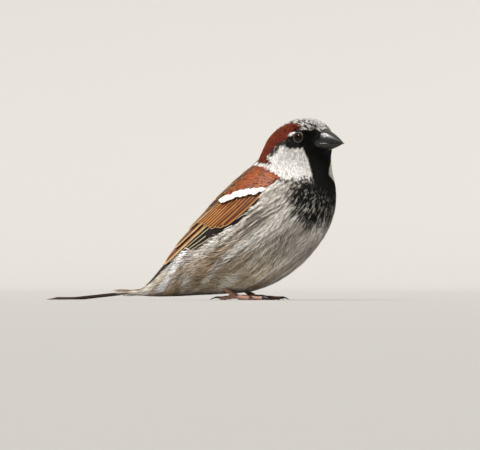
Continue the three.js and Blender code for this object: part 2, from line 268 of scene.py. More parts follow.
def noise(p, size, seed=0):
    """Smooth random values from 0 to 1, size mm across: random numbers at lattice points, blended between them."""
    lattice = np.random.default_rng(seed).random((32, 32, 32))
    q = p / size + 1000.0
    i = np.floor(q).astype(int)
    t = smooth(q - i)
    total = 0
    for corner in np.ndindex(2, 2, 2):
        weight = np.prod(np.where(np.array(corner) == 1, t, 1 - t), axis=-1)
        index = (i + corner) % 32
        total = total + weight * lattice[index[..., 0], index[..., 1], index[..., 2]]
    return total


# Distance in mm from the tail to each row of the table, along the left side: column 270 is 90 degrees from the back.
MM_ALONG = np.cumsum(np.linalg.norm(TABLE[:, 270, 6:9], axis=-1)) * (GRID_S[1] - GRID_S[0])


def cells(s, f, across, along, seed):
    """One random point to each cell, across by along mm: how far the nearest is, in cells, and a random number of its
    own. f is in degrees."""
    girth = section(s)[..., 4] * math.pi / 180
    q = np.stack([np.interp(s, GRID_S, MM_ALONG) / along, f * girth / across], -1)
    table = np.random.default_rng(seed).random((64, 64, 3))
    nearest, number = np.full(q.shape[:-1], 9.0), np.zeros(q.shape[:-1])
    for shift in np.ndindex(3, 3):
        cell = np.floor(q).astype(int) + shift - 1
        values = table[cell[..., 0] % 64, cell[..., 1] % 64]
        apart = np.linalg.norm(cell + values[..., :2] - q, axis=-1)
        number = np.where(apart < nearest, values[..., 2], number)
        nearest = np.minimum(nearest, apart)
    return nearest, number


print("outline table:", TABLE.shape)

# %% [markdown]
# ## Rings into solids
# Feathers, skin, bill and claws are all closed skins made of rings. A strip between the two halves of the first and of
# the last ring closes the ends, so nothing is left open.

# %% Faces of ring solids
def ring_faces(rows, size, loop=False):
    """Quads between neighbouring rings of size points, and a strip over each end unless the rings form a loop."""
    i, j = np.meshgrid(np.arange(rows if loop else rows - 1), np.arange(size), indexing="ij")
    a, b = i * size + j, i * size + (j + 1) % size
    c, d = (i + 1) % rows * size + (j + 1) % size, (i + 1) % rows * size + j
    faces = [np.stack([a, d, c, b], -1).reshape(-1, 4)]
    if not loop:
        k = np.arange(size // 2 - 1)
        cap = np.stack([k, k + 1, size - 2 - k, size - 1 - k], -1)
        faces += [cap, cap[:, ::-1] + (rows - 1) * size]
    return np.concatenate(faces)


def repeated(faces, count, points_each):
    """The same faces for count copies of a shape."""
    return (faces[None] + np.arange(count)[:, None, None] * points_each).reshape(-1, faces.shape[1])


def outwards(points, faces):
    """Turns all the faces over if the closed shape's signed volume is negative."""
    p = points.reshape(-1, 3)[faces]
    volume = np.einsum("ij,ij->i", p[:, 0], np.cross(p[:, 1], p[:, 2])).sum()
    volume += np.einsum("ij,ij->i", p[:, 0], np.cross(p[:, 2], p[:, 3])).sum()
    return faces if volume > 0 else faces[:, ::-1]


def ring_solids(name, points, material, node, vane=None, bake=None):
    """One piece of one solid, or of many with equal rings. points are (rows, size, 3), after the number if many."""
    first = points if points.ndim == 3 else points[0]
    rows, size = first.shape[:2]
    faces = repeated(outwards(first, ring_faces(rows, size)), points.size // first.size, rows * size)
    return piece(name, points, faces, material, [node], vane=vane, bake=bake)


print("faces of three rings of eight points:", len(ring_faces(3, 8)))


# %% [markdown]
# ## The markings
# An adult male has a grey crown, a chestnut band from above the eye round the nape, white cheeks, and a black bib that
# spreads over the breast. Each patch is a polygon drawn on the outline in (s, f), with a border that noise makes
# ragged. Both skin and feathers ask the same function for their colours, so they always agree.

# %% Patches of colour
PATCHES = {  # corners as station and degrees from the middle of the back, the same on both sides
    "chestnut": [(13.5, 46), (13.5, 60), (13.25, 64), (12.65, 66), (12.33, 68), (12.45, 76), (12.1, 75), (11.4, 66),
                 (10.6, 58), (10.1, 54), (9.8, 63), (9.5, 52), (9.15, 37), (9.25, 15), (9.3, -30), (12.4, -30)],
    "crown": [(9.7, -30), (9.9, 8), (10.6, 12), (11.33, 18), (12.03, 29), (12.68, 33), (13.1, 44), (13.5, 56),
              (13.7, 66), (14.08, 65), (14.4, 60), (14.68, 50), (14.93, 38), (15.3, 34), (15.3, -30)],
    "black": [(15.3, 34), (14.93, 38), (14.68, 50), (14.4, 60), (14.08, 65), (13.7, 66), (13.1, 68), (12.5, 74),
              (12.0, 77), (11.75, 80), (11.8, 86), (12.0, 93), (12.2, 102), (12.45, 112), (12.68, 120), (12.28, 131),
              (11.45, 138), (10.35, 137), (10.1, 124), (9.85, 119), (9.65, 115), (9.3, 111), (8.85, 111), (8.6, 119),
              (8.5, 128), (8.42, 137), (8.33, 149), (8.5, 156), (8.62, 165), (8.6, 220), (15.3, 220)],
    "ear": [(12.9, 95), (12.3, 99), (12.1, 88), (11.7, 79), (11.2, 70), (10.6, 66), (10.1, 52), (10.6, 56),
            (11.4, 64), (12.1, 73), (12.5, 74)],
    "white": [(11.78, 86), (11.98, 93), (12.18, 102), (12.43, 112), (12.66, 120), (12.28, 131), (11.45, 137),
              (10.3, 137), (10.0, 113), (9.7, 96), (9.4, 82), (9.05, 68), (9.05, 55), (8.8, 38), (8.5, 26), (8.85, 22),
              (9.2, 40), (9.5, 54), (9.85, 64), (10.1, 50), (10.5, 62), (11.2, 69), (11.7, 79)],
    "eye spot": [(12.42, 67), (12.5, 71), (12.68, 70), (12.8, 67), (12.62, 65.5)],
    "brow spot": [(13.42, 59), (13.5, 63), (13.9, 65), (13.8, 61)],
}
STATION_MM, DEGREE_MM = 4.6, 0.2   # rough sizes of one station and one degree on the head


def patch(name, s, side):
    """Signed distance in mm to a patch's border, positive inside: the nearest edge, and a count of crossings."""
    corners = np.array(PATCHES[name]) * [STATION_MM, DEGREE_MM]
    p = np.stack([s * STATION_MM, side * DEGREE_MM], -1)[..., None, :]
    a, b = corners, np.roll(corners, -1, 0)
    t = np.clip(((p - a) * (b - a)).sum(-1) / ((b - a) ** 2).sum(-1), 0, 1)
    apart = np.linalg.norm(p - (a + (b - a) * t[..., None]), axis=-1).min(-1)
    rise = np.where(b[:, 1] == a[:, 1], 1e-9, b[:, 1] - a[:, 1])
    crossing = ((a[:, 1] > p[..., 1]) != (b[:, 1] > p[..., 1])) & (
        p[..., 0] < a[:, 0] + (b[:, 0] - a[:, 0]) * (p[..., 1] - a[:, 1]) / rise)
    return np.where(crossing.sum(-1) % 2 == 1, apart, -apart)


print("patches:", ", ".join(PATCHES))

# %% [markdown]
# ## The colours of each feather
# A feather is seldom of one colour: the streak along its shaft is darker and its tip paler, and that is what makes
# plumage look streaked, scaled or frosted. So the markings give three colours for every place, for vane, shaft and
# tip. Soft changes, such as the locks of the flanks with their painted shade and highlights, the painted shade under
# the rear and in the flank's folds, the fluff beside the rump, and the patches with their flecks and fringes, are
# masks that lay one colour after another over them. A painted image would do it too, but it needs an unwrap, and its
# pixels would show where the feathers are finest.

# %% Colours of the plumage
FLANK, BREAST, BELLY = linear("#c9bfb4"), linear("#c8c0b7"), linear("#dccdb4")
FLANK_PAINTED_SHADE, FLANK_PAINTED_HIGHLIGHT = linear("#56493d"), linear("#f6f1ea")
UNDERTAIL, UNDERTAIL_STREAK_AND_SHADE = linear("#efe7d8"), linear("#6d5c40")
MANTLE, MANTLE_EDGE, STREAK = linear("#96592c"), linear("#cf9f68"), linear("#17100c")
RUMP, FLUFF, FOLD_PAINTED_SHADE = linear("#8a7560"), linear("#fbfafa"), linear("#9a7d55")
CHESTNUT, CHESTNUT_DARK = linear("#83300f"), linear("#2c0e06")
CROWN_SPECK, CROWN_PALE = linear("#1c1514"), linear("#eae5e2")
BLACK, FRINGE = linear("#0b0a09"), linear("#e0dad2")
WHITE, WHITE_SHADE = linear("#fbf9f6"), linear("#a9a5a1")


def streaks(s, f, across, along, seed):
    """Noise drawn out along the bird: across and along are the sizes of its clumps in mm. f is in degrees."""
    girth = section(s)[..., 4] * math.pi / 180
    return noise(np.stack([s * 5.0 / along, f * girth / across, 0 * s], -1), 1.0, seed)


def locks(s, f):
    """Fine and coarse streaks together: high where a lock of barbs lies on top, low between two locks."""
    return 0.66 * streaks(s, f, 0.55, 6, 21) + 0.34 * streaks(s, f, 2.0, 12, 22)


def plumage(s, f, chance):
    """Colours at (s, f in degrees): the vane, the streak along the shaft, and the tip. chance, from 0 to 1, lets
    feathers near a border fall on either side of it."""
    twist = 36 * np.exp(-(((s - 11.2) / 0.75) ** 2)) * smooth(f, 80, 135)   # the throat turns with the head
    side = np.abs(f) - twist
    p = lay(s, np.radians(f))
    cloud, fine = noise(p, 5.0, 1), noise(p, 1.1, 2)
    near, number = cells(s, f, 0.85, 1.05, 3)
    scallop, _ = cells(s, f, 0.8, 1.4, 4)

    def over(old, new, share):
        return blend(old, new, np.asarray(share)[..., None])

    def paint(share, vane, shaft=None, tip=None, parts=(1, 1, 1)):
        """Lays vane over the vane, and the same or their own colour over shaft and tip, each by its part of share."""
        for k, colour in enumerate((vane, shaft, tip)):
            coat[k] = over(coat[k], vane if colour is None else colour, share * parts[k])

    def inside(name, ragged=0.7):
        return smooth(patch(name, s, side) + ragged * (fine - 0.5) + 0.8 * (chance - 0.5), -0.15, 0.15)

    # Underparts: grey flanks and breast, creamy belly, whitish under the tail, all in locks with painted highlights on
    # top and painted shade between them.
    vane = over(FLANK, BELLY, smooth(side, 105, 150) * smooth(8.3 - s, 0, 2))
    vane = over(vane, BREAST, smooth(s, 5.5, 8))
    vane = over(vane, UNDERTAIL, smooth(3 - s, 0, 2) * smooth(side, 70, 100))
    strand = locks(s, f)
    # painted shade between the locks, and painted highlights on the locks on top
    shadow = np.interp(s, [1, 3.5, 5], [0.1, 0.3, 0.8]) * (1 - 0.55 * smooth(side, 95, 130))
    vane = over(vane, FLANK_PAINTED_SHADE, smooth(0.47 - strand, 0, 0.16) * shadow)
    vane = over(vane, FLANK_PAINTED_HIGHLIGHT, 0.85 * smooth(strand, 0.5, 0.64))
    vane = vane * (0.85 + 0.25 * cloud)[..., None]
    coat = [vane, vane * 0.75, vane * 1.1]

    # Rear: dark streaks under the tail, white fluff beside the rump, painted shade on the underside below the fluff,
    # and buff-brown painted shade in the folds where the thigh parts the flank.
    dark = smooth(streaks(s, f, 5, 9, 23), 0.55, 0.7) * (side > 120) * (s < 3.2)
    paint(dark, UNDERTAIL_STREAK_AND_SHADE, parts=(0.8, 0, 0.7))
    band = side - 98 - 11.5 * (3.45 - s)
    fluff = np.maximum(smooth(1 - np.hypot((s - 3.3) / 1.0, (side - 76) / 22), 0, 0.35),
                       smooth(18 - np.abs(band), 0, 8) * smooth(s, 0.3, 0.9) * smooth(3.6 - s, 0, 0.6))
    paint(fluff * smooth(strand, 0.29, 0.39), FLUFF)
    # painted shade on the underside, beyond the white band
    paint(0.5 * smooth(band, 14, 30) * smooth(4.5 - s, 0, 1) * smooth(s, 0.8, 1.6), UNDERTAIL_STREAK_AND_SHADE)
    # buff-brown painted shade in the folds of the flank
    fold = smooth(streaks(s, f, 4, 11, 24), 0.56, 0.7) * smooth(side, 80, 100) * smooth(7 - s, 0, 1.5)
    paint(0.6 * fold, FOLD_PAINTED_SHADE)

    # Back: brown with black streaks between the wings, plain on the rump.
    back = smooth(np.where(s < 1.2, 70, wing_upper(s) + 7) - side, -3, 3) * smooth(9.3 - s, 0, 0.3)
    streaked = (chance < 0.6) * smooth(s, 3.6, 4.2)
    ground = over(RUMP, over(MANTLE, MANTLE_EDGE, 0.5 * cloud), smooth(s, 3.4, 4.4))
    paint(back, ground, over(ground * 0.6, STREAK, streaked), over(ground * 1.15, STREAK, 0.7 * streaked))

    # Head: dark flecks in the chestnut, specks on the crown, a soft shade on the cheek and a dark line behind the ear.
    chestnut = over(CHESTNUT, CHESTNUT_DARK, 0.8 * smooth(0.34 - near + 0.3 * (fine - 0.5), -0.05, 0.05))
    paint(inside("chestnut"), chestnut, chestnut * 0.7, chestnut * 1.25)
    speck = smooth(0.36 + 0.16 * number - near, -0.03, 0.03) * (0.5 + 0.5 * smooth(side, 8, 35))
    crown = over(CROWN_PALE, CROWN_SPECK, 0.95 * speck)
    paint(inside("crown"), crown * 0.9, crown * 0.75, crown)
    cheek = over(WHITE, WHITE_SHADE, 0.5 * smooth(0.6 * cloud + 0.6 * fine, 0.6, 0.9) * smooth(s, 10.0, 10.6))
    paint(inside("white", 1.0), cheek, cheek * 0.92)
    paint(inside("ear", 1.2) * 0.95 * smooth(fine + 0.4 * smooth(s, 11.3, 12), 0.2, 0.5), STREAK * 2)

    # Bib: pale fringes low on the breast, flecks under the collar, and single black feathers round its border.
    bib = inside("black", 1.4)
    frayed = smooth(10.4 - s, 0, 1.6) * smooth(scallop + 0.3 * (cloud - 0.5), 0.55, 0.62)
    paint(bib, over(BLACK, FRINGE, 0.6 * frayed), BLACK, over(BLACK, FRINGE, 0.9 * frayed))
    collar = smooth(patch("white", s, side), -2.2, -1.0) * (s < 10) * (s > 7.5) * (side > 30) * (near < 0.42)
    paint(0.8 * (collar * (1 - inside("white"))), BLACK)
    stray = smooth(patch("black", s, side), -2.6, 0.2) * (s < 10.6) * (s > 7) * (1 - bib) * (side > 60)
    paint(smooth(0.12 + 0.5 * stray - scallop, -0.05, 0.05), BLACK, parts=(1, 1, 0.8))
    for name in ("eye spot", "brow spot"):
        paint(inside(name, 0.2), WHITE)
    return coat


# The folded wing on the outline: station, and its upper and lower edges in degrees from the middle of the back.
WING = np.array([
    [1, 42, 58], [1.5, 36, 72], [2.2, 29, 70], [3.2, 21, 67], [4.6, 17, 75], [6, 17, 78], [7.6, 20, 80],
    [8.8, 30, 78], [9.35, 44, 72],
])


def wing_upper(s):
    return np.interp(s, WING[:, 0], WING[:, 1], left=0, right=44)


def wing_lower(s):
    return np.interp(s, WING[:, 0], WING[:, 2], left=0, right=44)


print("mean colour round the middle of the breast:", plumage(np.full(9, 7.0), np.linspace(100, 180, 9), 0.5)[0].mean(0))


# %% [markdown]
# ## The coat's material
# Feathers are keratin, and matt because their barbs scatter light every way, with a soft sheen at grazing angles. The
# colour of each comes from a point attribute that the markings fill in. The material adds what is finer: barbs,
# 0.35 mm apart here, which is three times the real spacing so that they can show, and a slight mottling.

# %% Contour feathers and skin
def coat_material(name, rough=0.72, sheen=0.04):
    material, tree, output = new_material(name)
    colour = add(tree, "ShaderNodeAttribute", {"attribute_name": "coat"})
    place = add(tree, "ShaderNodeTexCoord")
    mottle = add(tree, "ShaderNodeTexNoise", values={"Scale": 1 / (0.35 * MM), "Detail": 3.0},
                 links={"Vector": place.outputs["Object"]})
    tone = add(tree, "ShaderNodeMapRange", values={"From Min": 0.3, "From Max": 0.7, "To Min": 0.82, "To Max": 1.15},
               links={"Value": mottle.outputs["Fac"]})
    shown = add(tree, "ShaderNodeVectorMath", {"operation": "SCALE"},
                links={"Vector": colour.outputs["Color"], "Scale": tone.outputs["Result"]})
    bump = add(tree, "ShaderNodeBump", values={"Strength": 0.35, "Distance": 0.1 * MM},
               links={"Height": mottle.outputs["Fac"]})
    shader = add(tree, "ShaderNodeBsdfPrincipled", values={"Roughness": rough, "Sheen Weight": sheen,
                 "Sheen Roughness": 0.5, "Specular IOR Level": 0.2},
                 links={"Base Color": shown.outputs["Vector"], "Normal": bump.outputs["Normal"]})
    tree.links.new(shader.outputs["BSDF"], output.inputs["Surface"])
    return material


COAT = coat_material("contour_feather_keratin")
SKIN = coat_material("down_over_skin", rough=0.85, sheen=0.0)
print("coat materials:", COAT.name, SKIN.name)


def coat_depth(s):
    """How far the skin lies under the feathers' tips, in mm."""
    return np.interp(s, [-2, 0, 2, 8, 11, 13, 15], [0.6, 1.0, 2.0, 2.3, 1.7, 1.1, 0.7])


def unwrap(s, f):
    """The skin's own shape laid flat: along the bird one way and round it the other."""
    return np.stack([(s - S_FROM) / (S_TO - S_FROM) * 0.98 + 0.01, (f / (2 * math.pi) + 0.5) * 0.98 + 0.01], -1)


# %% [markdown]
# ## One skin under all the feathers
# Under its coat a bird has one skin over trunk, neck and head, so one closed mesh replaces those solids. It could be a
# remesh of them, but the outline's own function gives it without a seam: the same grid, moved in by the coat's depth.

# %% Skin
def make_skin():
    s, f = np.meshgrid(np.linspace(0.05, 14.98, 240), np.linspace(-math.pi, math.pi, 180, endpoint=False),
                       indexing="ij")
    points = lay(s, f, -coat_depth(s))
    vane, _, _ = plumage(s, np.degrees(f), noise(lay(s, f), 0.8, 5))
    faces = outwards(points, ring_faces(*s.shape))
    # the skin takes the plumage colours at 0.6: painted shade where it shows between the feathers
    return piece("skin", points, faces, SKIN, ["trunk", "neck", "head"], colours=vane * 0.6,
                 bake=unwrap(s, f))


make_skin()

# %% [markdown]
# ## Contour feathers
# A contour feather is a short shaft with barbs that fan out to a rounded tip, held loosely enough to look like hair on
# the flanks. Modelled as one leaf it looks like a scale, so each is a fan of narrow strips. A strip is described by how
# far it goes back along the bird and how far aside, both in mm, and the outline's two slopes turn those into (s, f), so
# that every feather bends with the body. Roots sit near the skin and tips at the outline, which shingles them: the tip
# of each always lies over the roots of those behind it.

# %% Where the feathers are rooted
def feather_length(s, side):
    """Shortest at the bill, 9 mm at the rump, and a little longer on the back."""
    length = np.interp(s, [0, 1, 3, 6, 8, 9.5, 11, 12.5, 14, 15], [9, 9, 8.5, 7.5, 5.6, 3.8, 2.8, 2.1, 1.7, 1.4])
    return length * (1 + 0.12 * (side < 40) * (s < 9))


def scatter():
    """Staggered rows of roots: rows and roots are a share of the local feather length apart, with jitter."""
    stations, angles = [], []
    s = 14.93
    row = 0
    while s > 0.15:
        _, _, along, across = read(np.full(360, s), GRID_F[:360])
        spacing = SPACING * feather_length(s, 90.0)
        step = spacing / np.linalg.norm(along, axis=-1).max()
        girth = np.linalg.norm(across, axis=-1).mean() * 2 * math.pi
        count = int(girth / spacing)
        f = (np.arange(count) + 0.5 * (row % 2) + rng.uniform(-0.35, 0.35, count)) / count * 2 * math.pi - math.pi
        here = s + rng.uniform(-0.4, 0.4, count) * step
        _, _, along, _ = read(here, f)
        keep = rng.random(count) < np.clip(1.35 * np.linalg.norm(along, axis=-1) * step / spacing, 0.2, 1)
        stations.append(here[keep])
        angles.append(f[keep])
        s -= step
        row += 1
    return np.concatenate(stations), np.concatenate(angles)


def bill_edge(f):
    """The station where the face feathers stop: drawn back to the corners of the mouth by a bell curve."""
    side = np.degrees(np.abs(f))
    return 14.97 - 0.5 * np.exp(-(((side - 112) / np.where(side < 112, 20, 35)) ** 2))


SPACING = 0.21
root_s, root_f = scatter()
side = np.abs(np.degrees(root_f))
spare = np.interp(root_s, [1.3, 2.5, 8.2, 8.8], [8, 8, 7, -3])
under_wing = (side > wing_upper(root_s) + 5) & (side < wing_lower(root_s) + spare) & (root_s > 1.0) & (root_s < 9.1)
under_wing |= (side > 25) & (side < 60) & (root_s > 1.0) & (root_s < 3)
under_wing |= root_s > bill_edge(root_f)
root_s, root_f, side = root_s[~under_wing], root_f[~under_wing], side[~under_wing]
print("contour feathers:", len(root_s))

# %% [markdown]
# ## A fan of strips for each feather
# Each strip has seven points, three pairs and a tip. It leaves the feather's root, runs back along the bird and bends
# with the outline, and the strips of one feather spread, so that its end looks frayed and not cut. Every strip asks the
# markings for its own colours, which keeps specks and borders crisp. Beside an eye the feathers are shortened, so that
# they stop at the lid. Curves with a thickness would be simpler, but they need far more faces for the same coat.

# %% Fans of strips
STRIPS = 11
ROWS = np.array([0.06, 0.4, 0.75])      # shares of the length where a strip has two points; it ends in a third


def eye_place(sign):
    """The eye's centre after the head has turned."""
    return turned(EYE_CENTRE * [1, sign, 1], np.array(S_TO))


def step(s, f, back, aside):
    """Where back mm towards the tail and aside mm round the body lead from (s, f): the two slopes, which need not be
    square to each other, are solved for the shares of each."""
    p, out, along, across = read(s, f)
    ahead = -unit(along)
    beside = np.cross(out, ahead)
    aa, ar, rr = (along**2).sum(-1), (along * across).sum(-1), (across**2).sum(-1) + 4.0
    det = aa * rr - ar**2
    wide = (len(s),) + (1,) * (np.ndim(back) - 1)
    place = [s.reshape(wide), f.reshape(wide)]
    for way, distance in ((ahead, back), (beside, aside)):
        a, r = (way * along).sum(-1), (way * across).sum(-1)
        place[0] = place[0] + distance * ((rr * a - ar * r) / det).reshape(wide)
        place[1] = place[1] + distance * ((aa * r - ar * a) / det).reshape(wide)
    return np.maximum(place[0], S_FROM + 0.02), place[1]


def tuft(s, f):
    """1 at the fluffy flank feathers that lap over the lower edge of the folded wing, falling off as a bell."""
    return np.exp(-(((s - 4.1) / 0.45) ** 2) - ((np.abs(np.degrees(f)) - 83) / 8) ** 2)


def lie(s, f):
    """How far in radians a feather turns from straight back: gentle swirls, a whorl at each thigh, and the tuft's
    turn towards the back."""
    side = np.abs(np.degrees(wrapped(f)))
    loose = smooth(9.5 - s, 0, 2) * smooth(side, 60, 90)
    swirl = (0.4 + 0.7 * loose) * (noise(lay(s, f), 8.0, 8) - 0.5) + 0.5 * loose * (noise(lay(s, f), 3.0, 9) - 0.5)
    whorl = 1.4 * np.exp(-(((s - 4.7) / 0.45) ** 2) - ((side - 134) / 13) ** 2)
    return swirl + (whorl + 0.42 * tuft(s, f)) * np.sign(f)


def feather_fans(s, f, length, width, loose):
    """Points of all strips: back along the bird by t times the length, aside by the strip's own share of the width,
    and up from the skin as 1 - (1 - t)^1.4. Loose feathers clump into strands."""
    count = len(s)
    v = np.linspace(-1, 1, STRIPS) + rng.normal(0, 0.05, (count, STRIPS))
    t = np.append(ROWS, 1.0)
    free = loose[:, None, None]
    reach = length[:, None] * (1 - 0.3 * v**2) * (1 + rng.normal(0, 0.05 + 0.1 * loose[:, None], v.shape))
    back = reach[..., None] * t
    aside = v[..., None] * t**0.6 * (1 - 0.22 * t**2) * width[:, None, None] / 2
    aside = aside + rng.normal(0, 1, v.shape)[..., None] * t**2 * (0.04 + 0.08 * free) * width[:, None, None]
    half = 0.55 * width[:, None, None] / STRIPS * np.array([0.5, 1.0, 0.95, 0.0]) * (1 - 0.3 * free)
    edges = np.stack([aside - half, aside + half], -1)
    turn = lie(s, f) + rng.normal(0, 0.1, count)
    c, w = np.cos(turn)[:, None, None, None], np.sin(turn)[:, None, None, None]
    straight = np.broadcast_to(back[..., None], edges.shape)
    to_s, to_f = step(s, f, straight * c - edges * w, straight * w + edges * c)
    up = -coat_depth(s)[:, None, None, None] * 0.9 * (1 - t[:, None]) ** 1.4 - 0.16 * v[..., None, None] ** 2
    up = up + 1.1 * (tuft(s, f)[:, None] * t**2)[:, None, :, None]
    up = up + rng.normal(0, 0.07, v.shape)[..., None, None] + free[..., None] * t[:, None]**2 * 1.5 * (
        locks(to_s, np.degrees(to_f)) - 0.5)
    up = up + rng.normal(0, 0.05, v.shape)[..., None, None] * np.array([-1, 1])
    return lay(to_s, to_f, up), v, t, to_s[:, :, 2].mean(-1), to_f[:, :, 2].mean(-1)


def strip_faces(count):
    """Five triangles a strip: two between each pair of rows, and one to the tip."""
    one = np.array([[0, 2, 1], [1, 2, 3], [2, 4, 3], [3, 4, 5], [4, 6, 5]])
    return repeated(one, count, 7)


def contour_piece(name, chosen):
    s, f = root_s[chosen], root_f[chosen]
    away = side[chosen]
    length = feather_length(s, away) * rng.uniform(0.85, 1.15, len(s))
    p, out, along, _ = read(s, f)
    for sign in (1, -1):
        to_eye = eye_place(sign) - p
        apart = np.linalg.norm(to_eye - out * (to_eye * out).sum(-1)[:, None], axis=-1)
        near = np.linalg.norm(to_eye, axis=-1) < 8
        facing = (-unit(along) * unit(to_eye)).sum(-1)
        length = np.where(near & (facing > -0.2), np.minimum(length, np.maximum(apart - 2.3, 0.5)), length)
        gone = near & (apart < 2.75)
        s, f, away, length, p, out, along = (x[~gone] for x in (s, f, away, length, p, out, along))
    loose = np.clip(smooth(9.5 - s, 0, 2) * smooth(away, 55, 90), 0, 1)
    width = length * blend(0.72, 0.62, loose)
    points, v, t, seen_s, seen_f = feather_fans(s, f, length, width, loose)
    chance = rng.random((len(s), 1))
    vane, shaft, tip = (c[:, :, None] for c in plumage(seen_s, np.degrees(wrapped(seen_f)), chance))
    tone = 1 + (0.28 + 0.22 * loose[:, None]) * rng.uniform(-1, 1, v.shape)
    tone = tone - 0.45 * loose[:, None] * (rng.random(v.shape) < 0.16)      # some strands lie in the shade of others
    tone = rng.uniform(0.88, 1.1, (len(s), 1, 1, 1)) * tone[..., None, None]
    middle = np.exp(-((v / 0.28) ** 2))[..., None, None]
    colour = blend(vane, shaft, middle)
    colour = blend(colour, tip, smooth(t, 0.6, 1.0)[:, None] * (1 - 0.8 * middle)) * tone
    flat = np.concatenate([points[:, :, :3].reshape(len(s), STRIPS, 6, 3), points[:, :, 3:, 0]], 2)
    shades = np.concatenate([np.repeat(colour[:, :, :3], 2, 2), colour[:, :, 3:]], 2)
    corner = np.stack(np.broadcast_arrays(t[:, None] - 0.5, v[:, :, None, None] * 0.4 + [-0.05, 0.05]), -1) * 0.003
    corner = np.concatenate([corner[:, :, :3].reshape(len(s), STRIPS, 6, 2), corner[:, :, 3:, 0]], 2)
    bake = unwrap(s, f)[:, None, None] + corner
    return piece(name, flat, strip_faces(len(s) * STRIPS), COAT, colours=shades, bake=bake)


REGIONS = {  # names of the parts of the coat, and the stations they start from
    "face": 13.2, "head": 11.8, "throat": 10.8, "neck": 9.6, "breast": 8.0, "belly": 5.5, "vent": 3.0, "rump": 0.0,
}
before = 20.0
for name, start in REGIONS.items():
    contour_piece("feathers_" + name, (root_s > start) & (root_s <= before))
    before = start

# %% [markdown]
# ## Loose barbs
# On the flanks and the belly the outermost barbs part from their feathers and lie over them like hair. Each is one
# long thin strip that follows the same lie as the feathers, step by step, so that neighbours flow together in locks.

# %% Barbs over the flanks
def make_barbs(name, count, from_s, to_s, steps=7):
    s = rng.uniform(from_s, to_s, count)
    f = rng.uniform(58, 302, count) * math.pi / 180
    side = 180 - np.abs(np.degrees(f) - 180)
    free = smooth(side, wing_lower(s) + 2, wing_lower(s) + 12) * smooth(9.6 - s, 0, 1)
    keep = rng.random(count) < np.where(s < 1.2, smooth(side, 80, 100), free)
    s, f, side = s[keep], f[keep], side[keep]
    count = len(s)
    f = wrapped(f)
    length = feather_length(s, side) * rng.uniform(0.7, 1.15, count)
    path = [(s, f)]
    bend = rng.normal(0, 0.12, count)
    for _ in range(steps - 1):
        turn = lie(*path[-1]) + bend
        path.append(step(*path[-1], length / steps * np.cos(turn), length / steps * np.sin(turn)))
    path = np.array(path)
    t = np.linspace(0, 1, steps)
    arch = rng.uniform(0.05, 0.4, count)[:, None] * 4 * t * (1 - t) - 0.5 * (1 - t) ** 3
    middle = lay(path[:, 0].T, path[:, 1].T, arch)
    _, out, _, _ = read(path[:, 0].T, path[:, 1].T)
    beside = unit(np.cross(out, np.gradient(middle, axis=1)))
    half = 0.5 * rng.uniform(0.16, 0.36, count)[:, None, None] * ((1 - t**3) * (0.5 + 0.5 * t))[:, None]
    pair = np.stack([middle - beside * half, middle + beside * half], 2)[:, :-1].reshape(count, -1, 3)
    points = np.concatenate([pair, middle[:, -1:]], 1)
    seen_s, seen_f = path[steps // 2]
    vane, shaft, tip = plumage(seen_s, np.degrees(wrapped(seen_f)), rng.random(count))
    # a quarter of the barbs are painted darker, as shade where they lie under others; the rest vary at random
    tone = np.where(rng.random(count) < 0.25, rng.uniform(0.35, 0.6, count), rng.uniform(0.9, 1.3, count))
    colours = np.minimum(blend(vane, tip, 0.5) * tone[:, None], 0.95)[:, None]
    k = np.arange(steps - 2)[:, None] * 2
    one = np.concatenate([np.hstack([k, k + 2, k + 1]), np.hstack([k + 1, k + 2, k + 3])])
    one = np.concatenate([one, [[2 * steps - 4, 2 * steps - 2, 2 * steps - 3]]])
    corner = np.stack([np.tile([-0.0004, 0.0004], steps)[:-1], np.linspace(-0.0015, 0.0015, 2 * steps - 1)], -1)
    piece(name, points, repeated(one, count, 2 * steps - 1), COAT,
          colours=np.broadcast_to(colours, points.shape), bake=unwrap(seen_s, seen_f)[:, None] + corner)


BARBS = 14000
make_barbs("barbs_front", BARBS, 6.0, 10.0)
make_barbs("barbs_rear", BARBS, 0.6, 6.0)

# %% [markdown]
# ## Vanes: wing and tail feathers
# Flight feathers and coverts are stiff blades: two webs on a shaft, rounded at the tip, barely 0.2 mm thick. Each is a
# closed lens carried along the line of its shaft. The point attribute `vane` keeps, in mm, the distance from the
# coloured margin, the distance across from the shaft and the distance along it, so that a material can draw edges,
# shafts and barbs at their real sizes.

# %% Blades along a shaft
ACROSS = np.array([-1, -0.6, -0.2, 0.2, 0.6, 1.0])


def blades(p, beside, out, inner, outer, run, thick=0.2, cup=0.012, twist=0.05):
    """Rings of closed lenses. p, beside and out are (feathers, rows, 3); inner and outer are the webs' widths in mm
    for each row; cup is how much the blade bends down to its sides; twist sinks the inner web under the next
    feather and lifts the outer over the one before."""
    v = np.concatenate([ACROSS, ACROSS[-2:0:-1]])
    under = np.concatenate([np.zeros(6), np.ones(4)])
    reach = np.where(v < 0, v * inner[..., None], v * outer[..., None])
    up = -cup * reach**2 - thick * under + twist * reach
    ridge = 0.12 * np.exp(-((reach / 0.3) ** 2)) * (1 - under)
    points = p[..., None, :] + beside[..., None, :] * reach[..., None] + out[..., None, :] * (up + ridge)[..., None]
    margin = np.minimum((1 - v) * outer[..., None], (run[..., -1:] - run)[..., None] * 0.9 + 0 * reach)
    vane = np.stack([margin, reach, np.broadcast_to(run[..., None], reach.shape)], -1)
    return points, vane


def web(width, t, root=0.12, tip=0.2):
    """Width of a web along the shaft: opens over the root share, and closes as a quarter ellipse at the tip."""
    opening = np.sqrt(np.clip(t / root, 0, 1))
    closing = np.sqrt(np.clip(1 - (np.clip(t - 1 + tip, 0, 1) / tip) ** 2, 0, 1))
    return np.maximum(width * (0.25 + 0.75 * opening) * closing, 0.03)


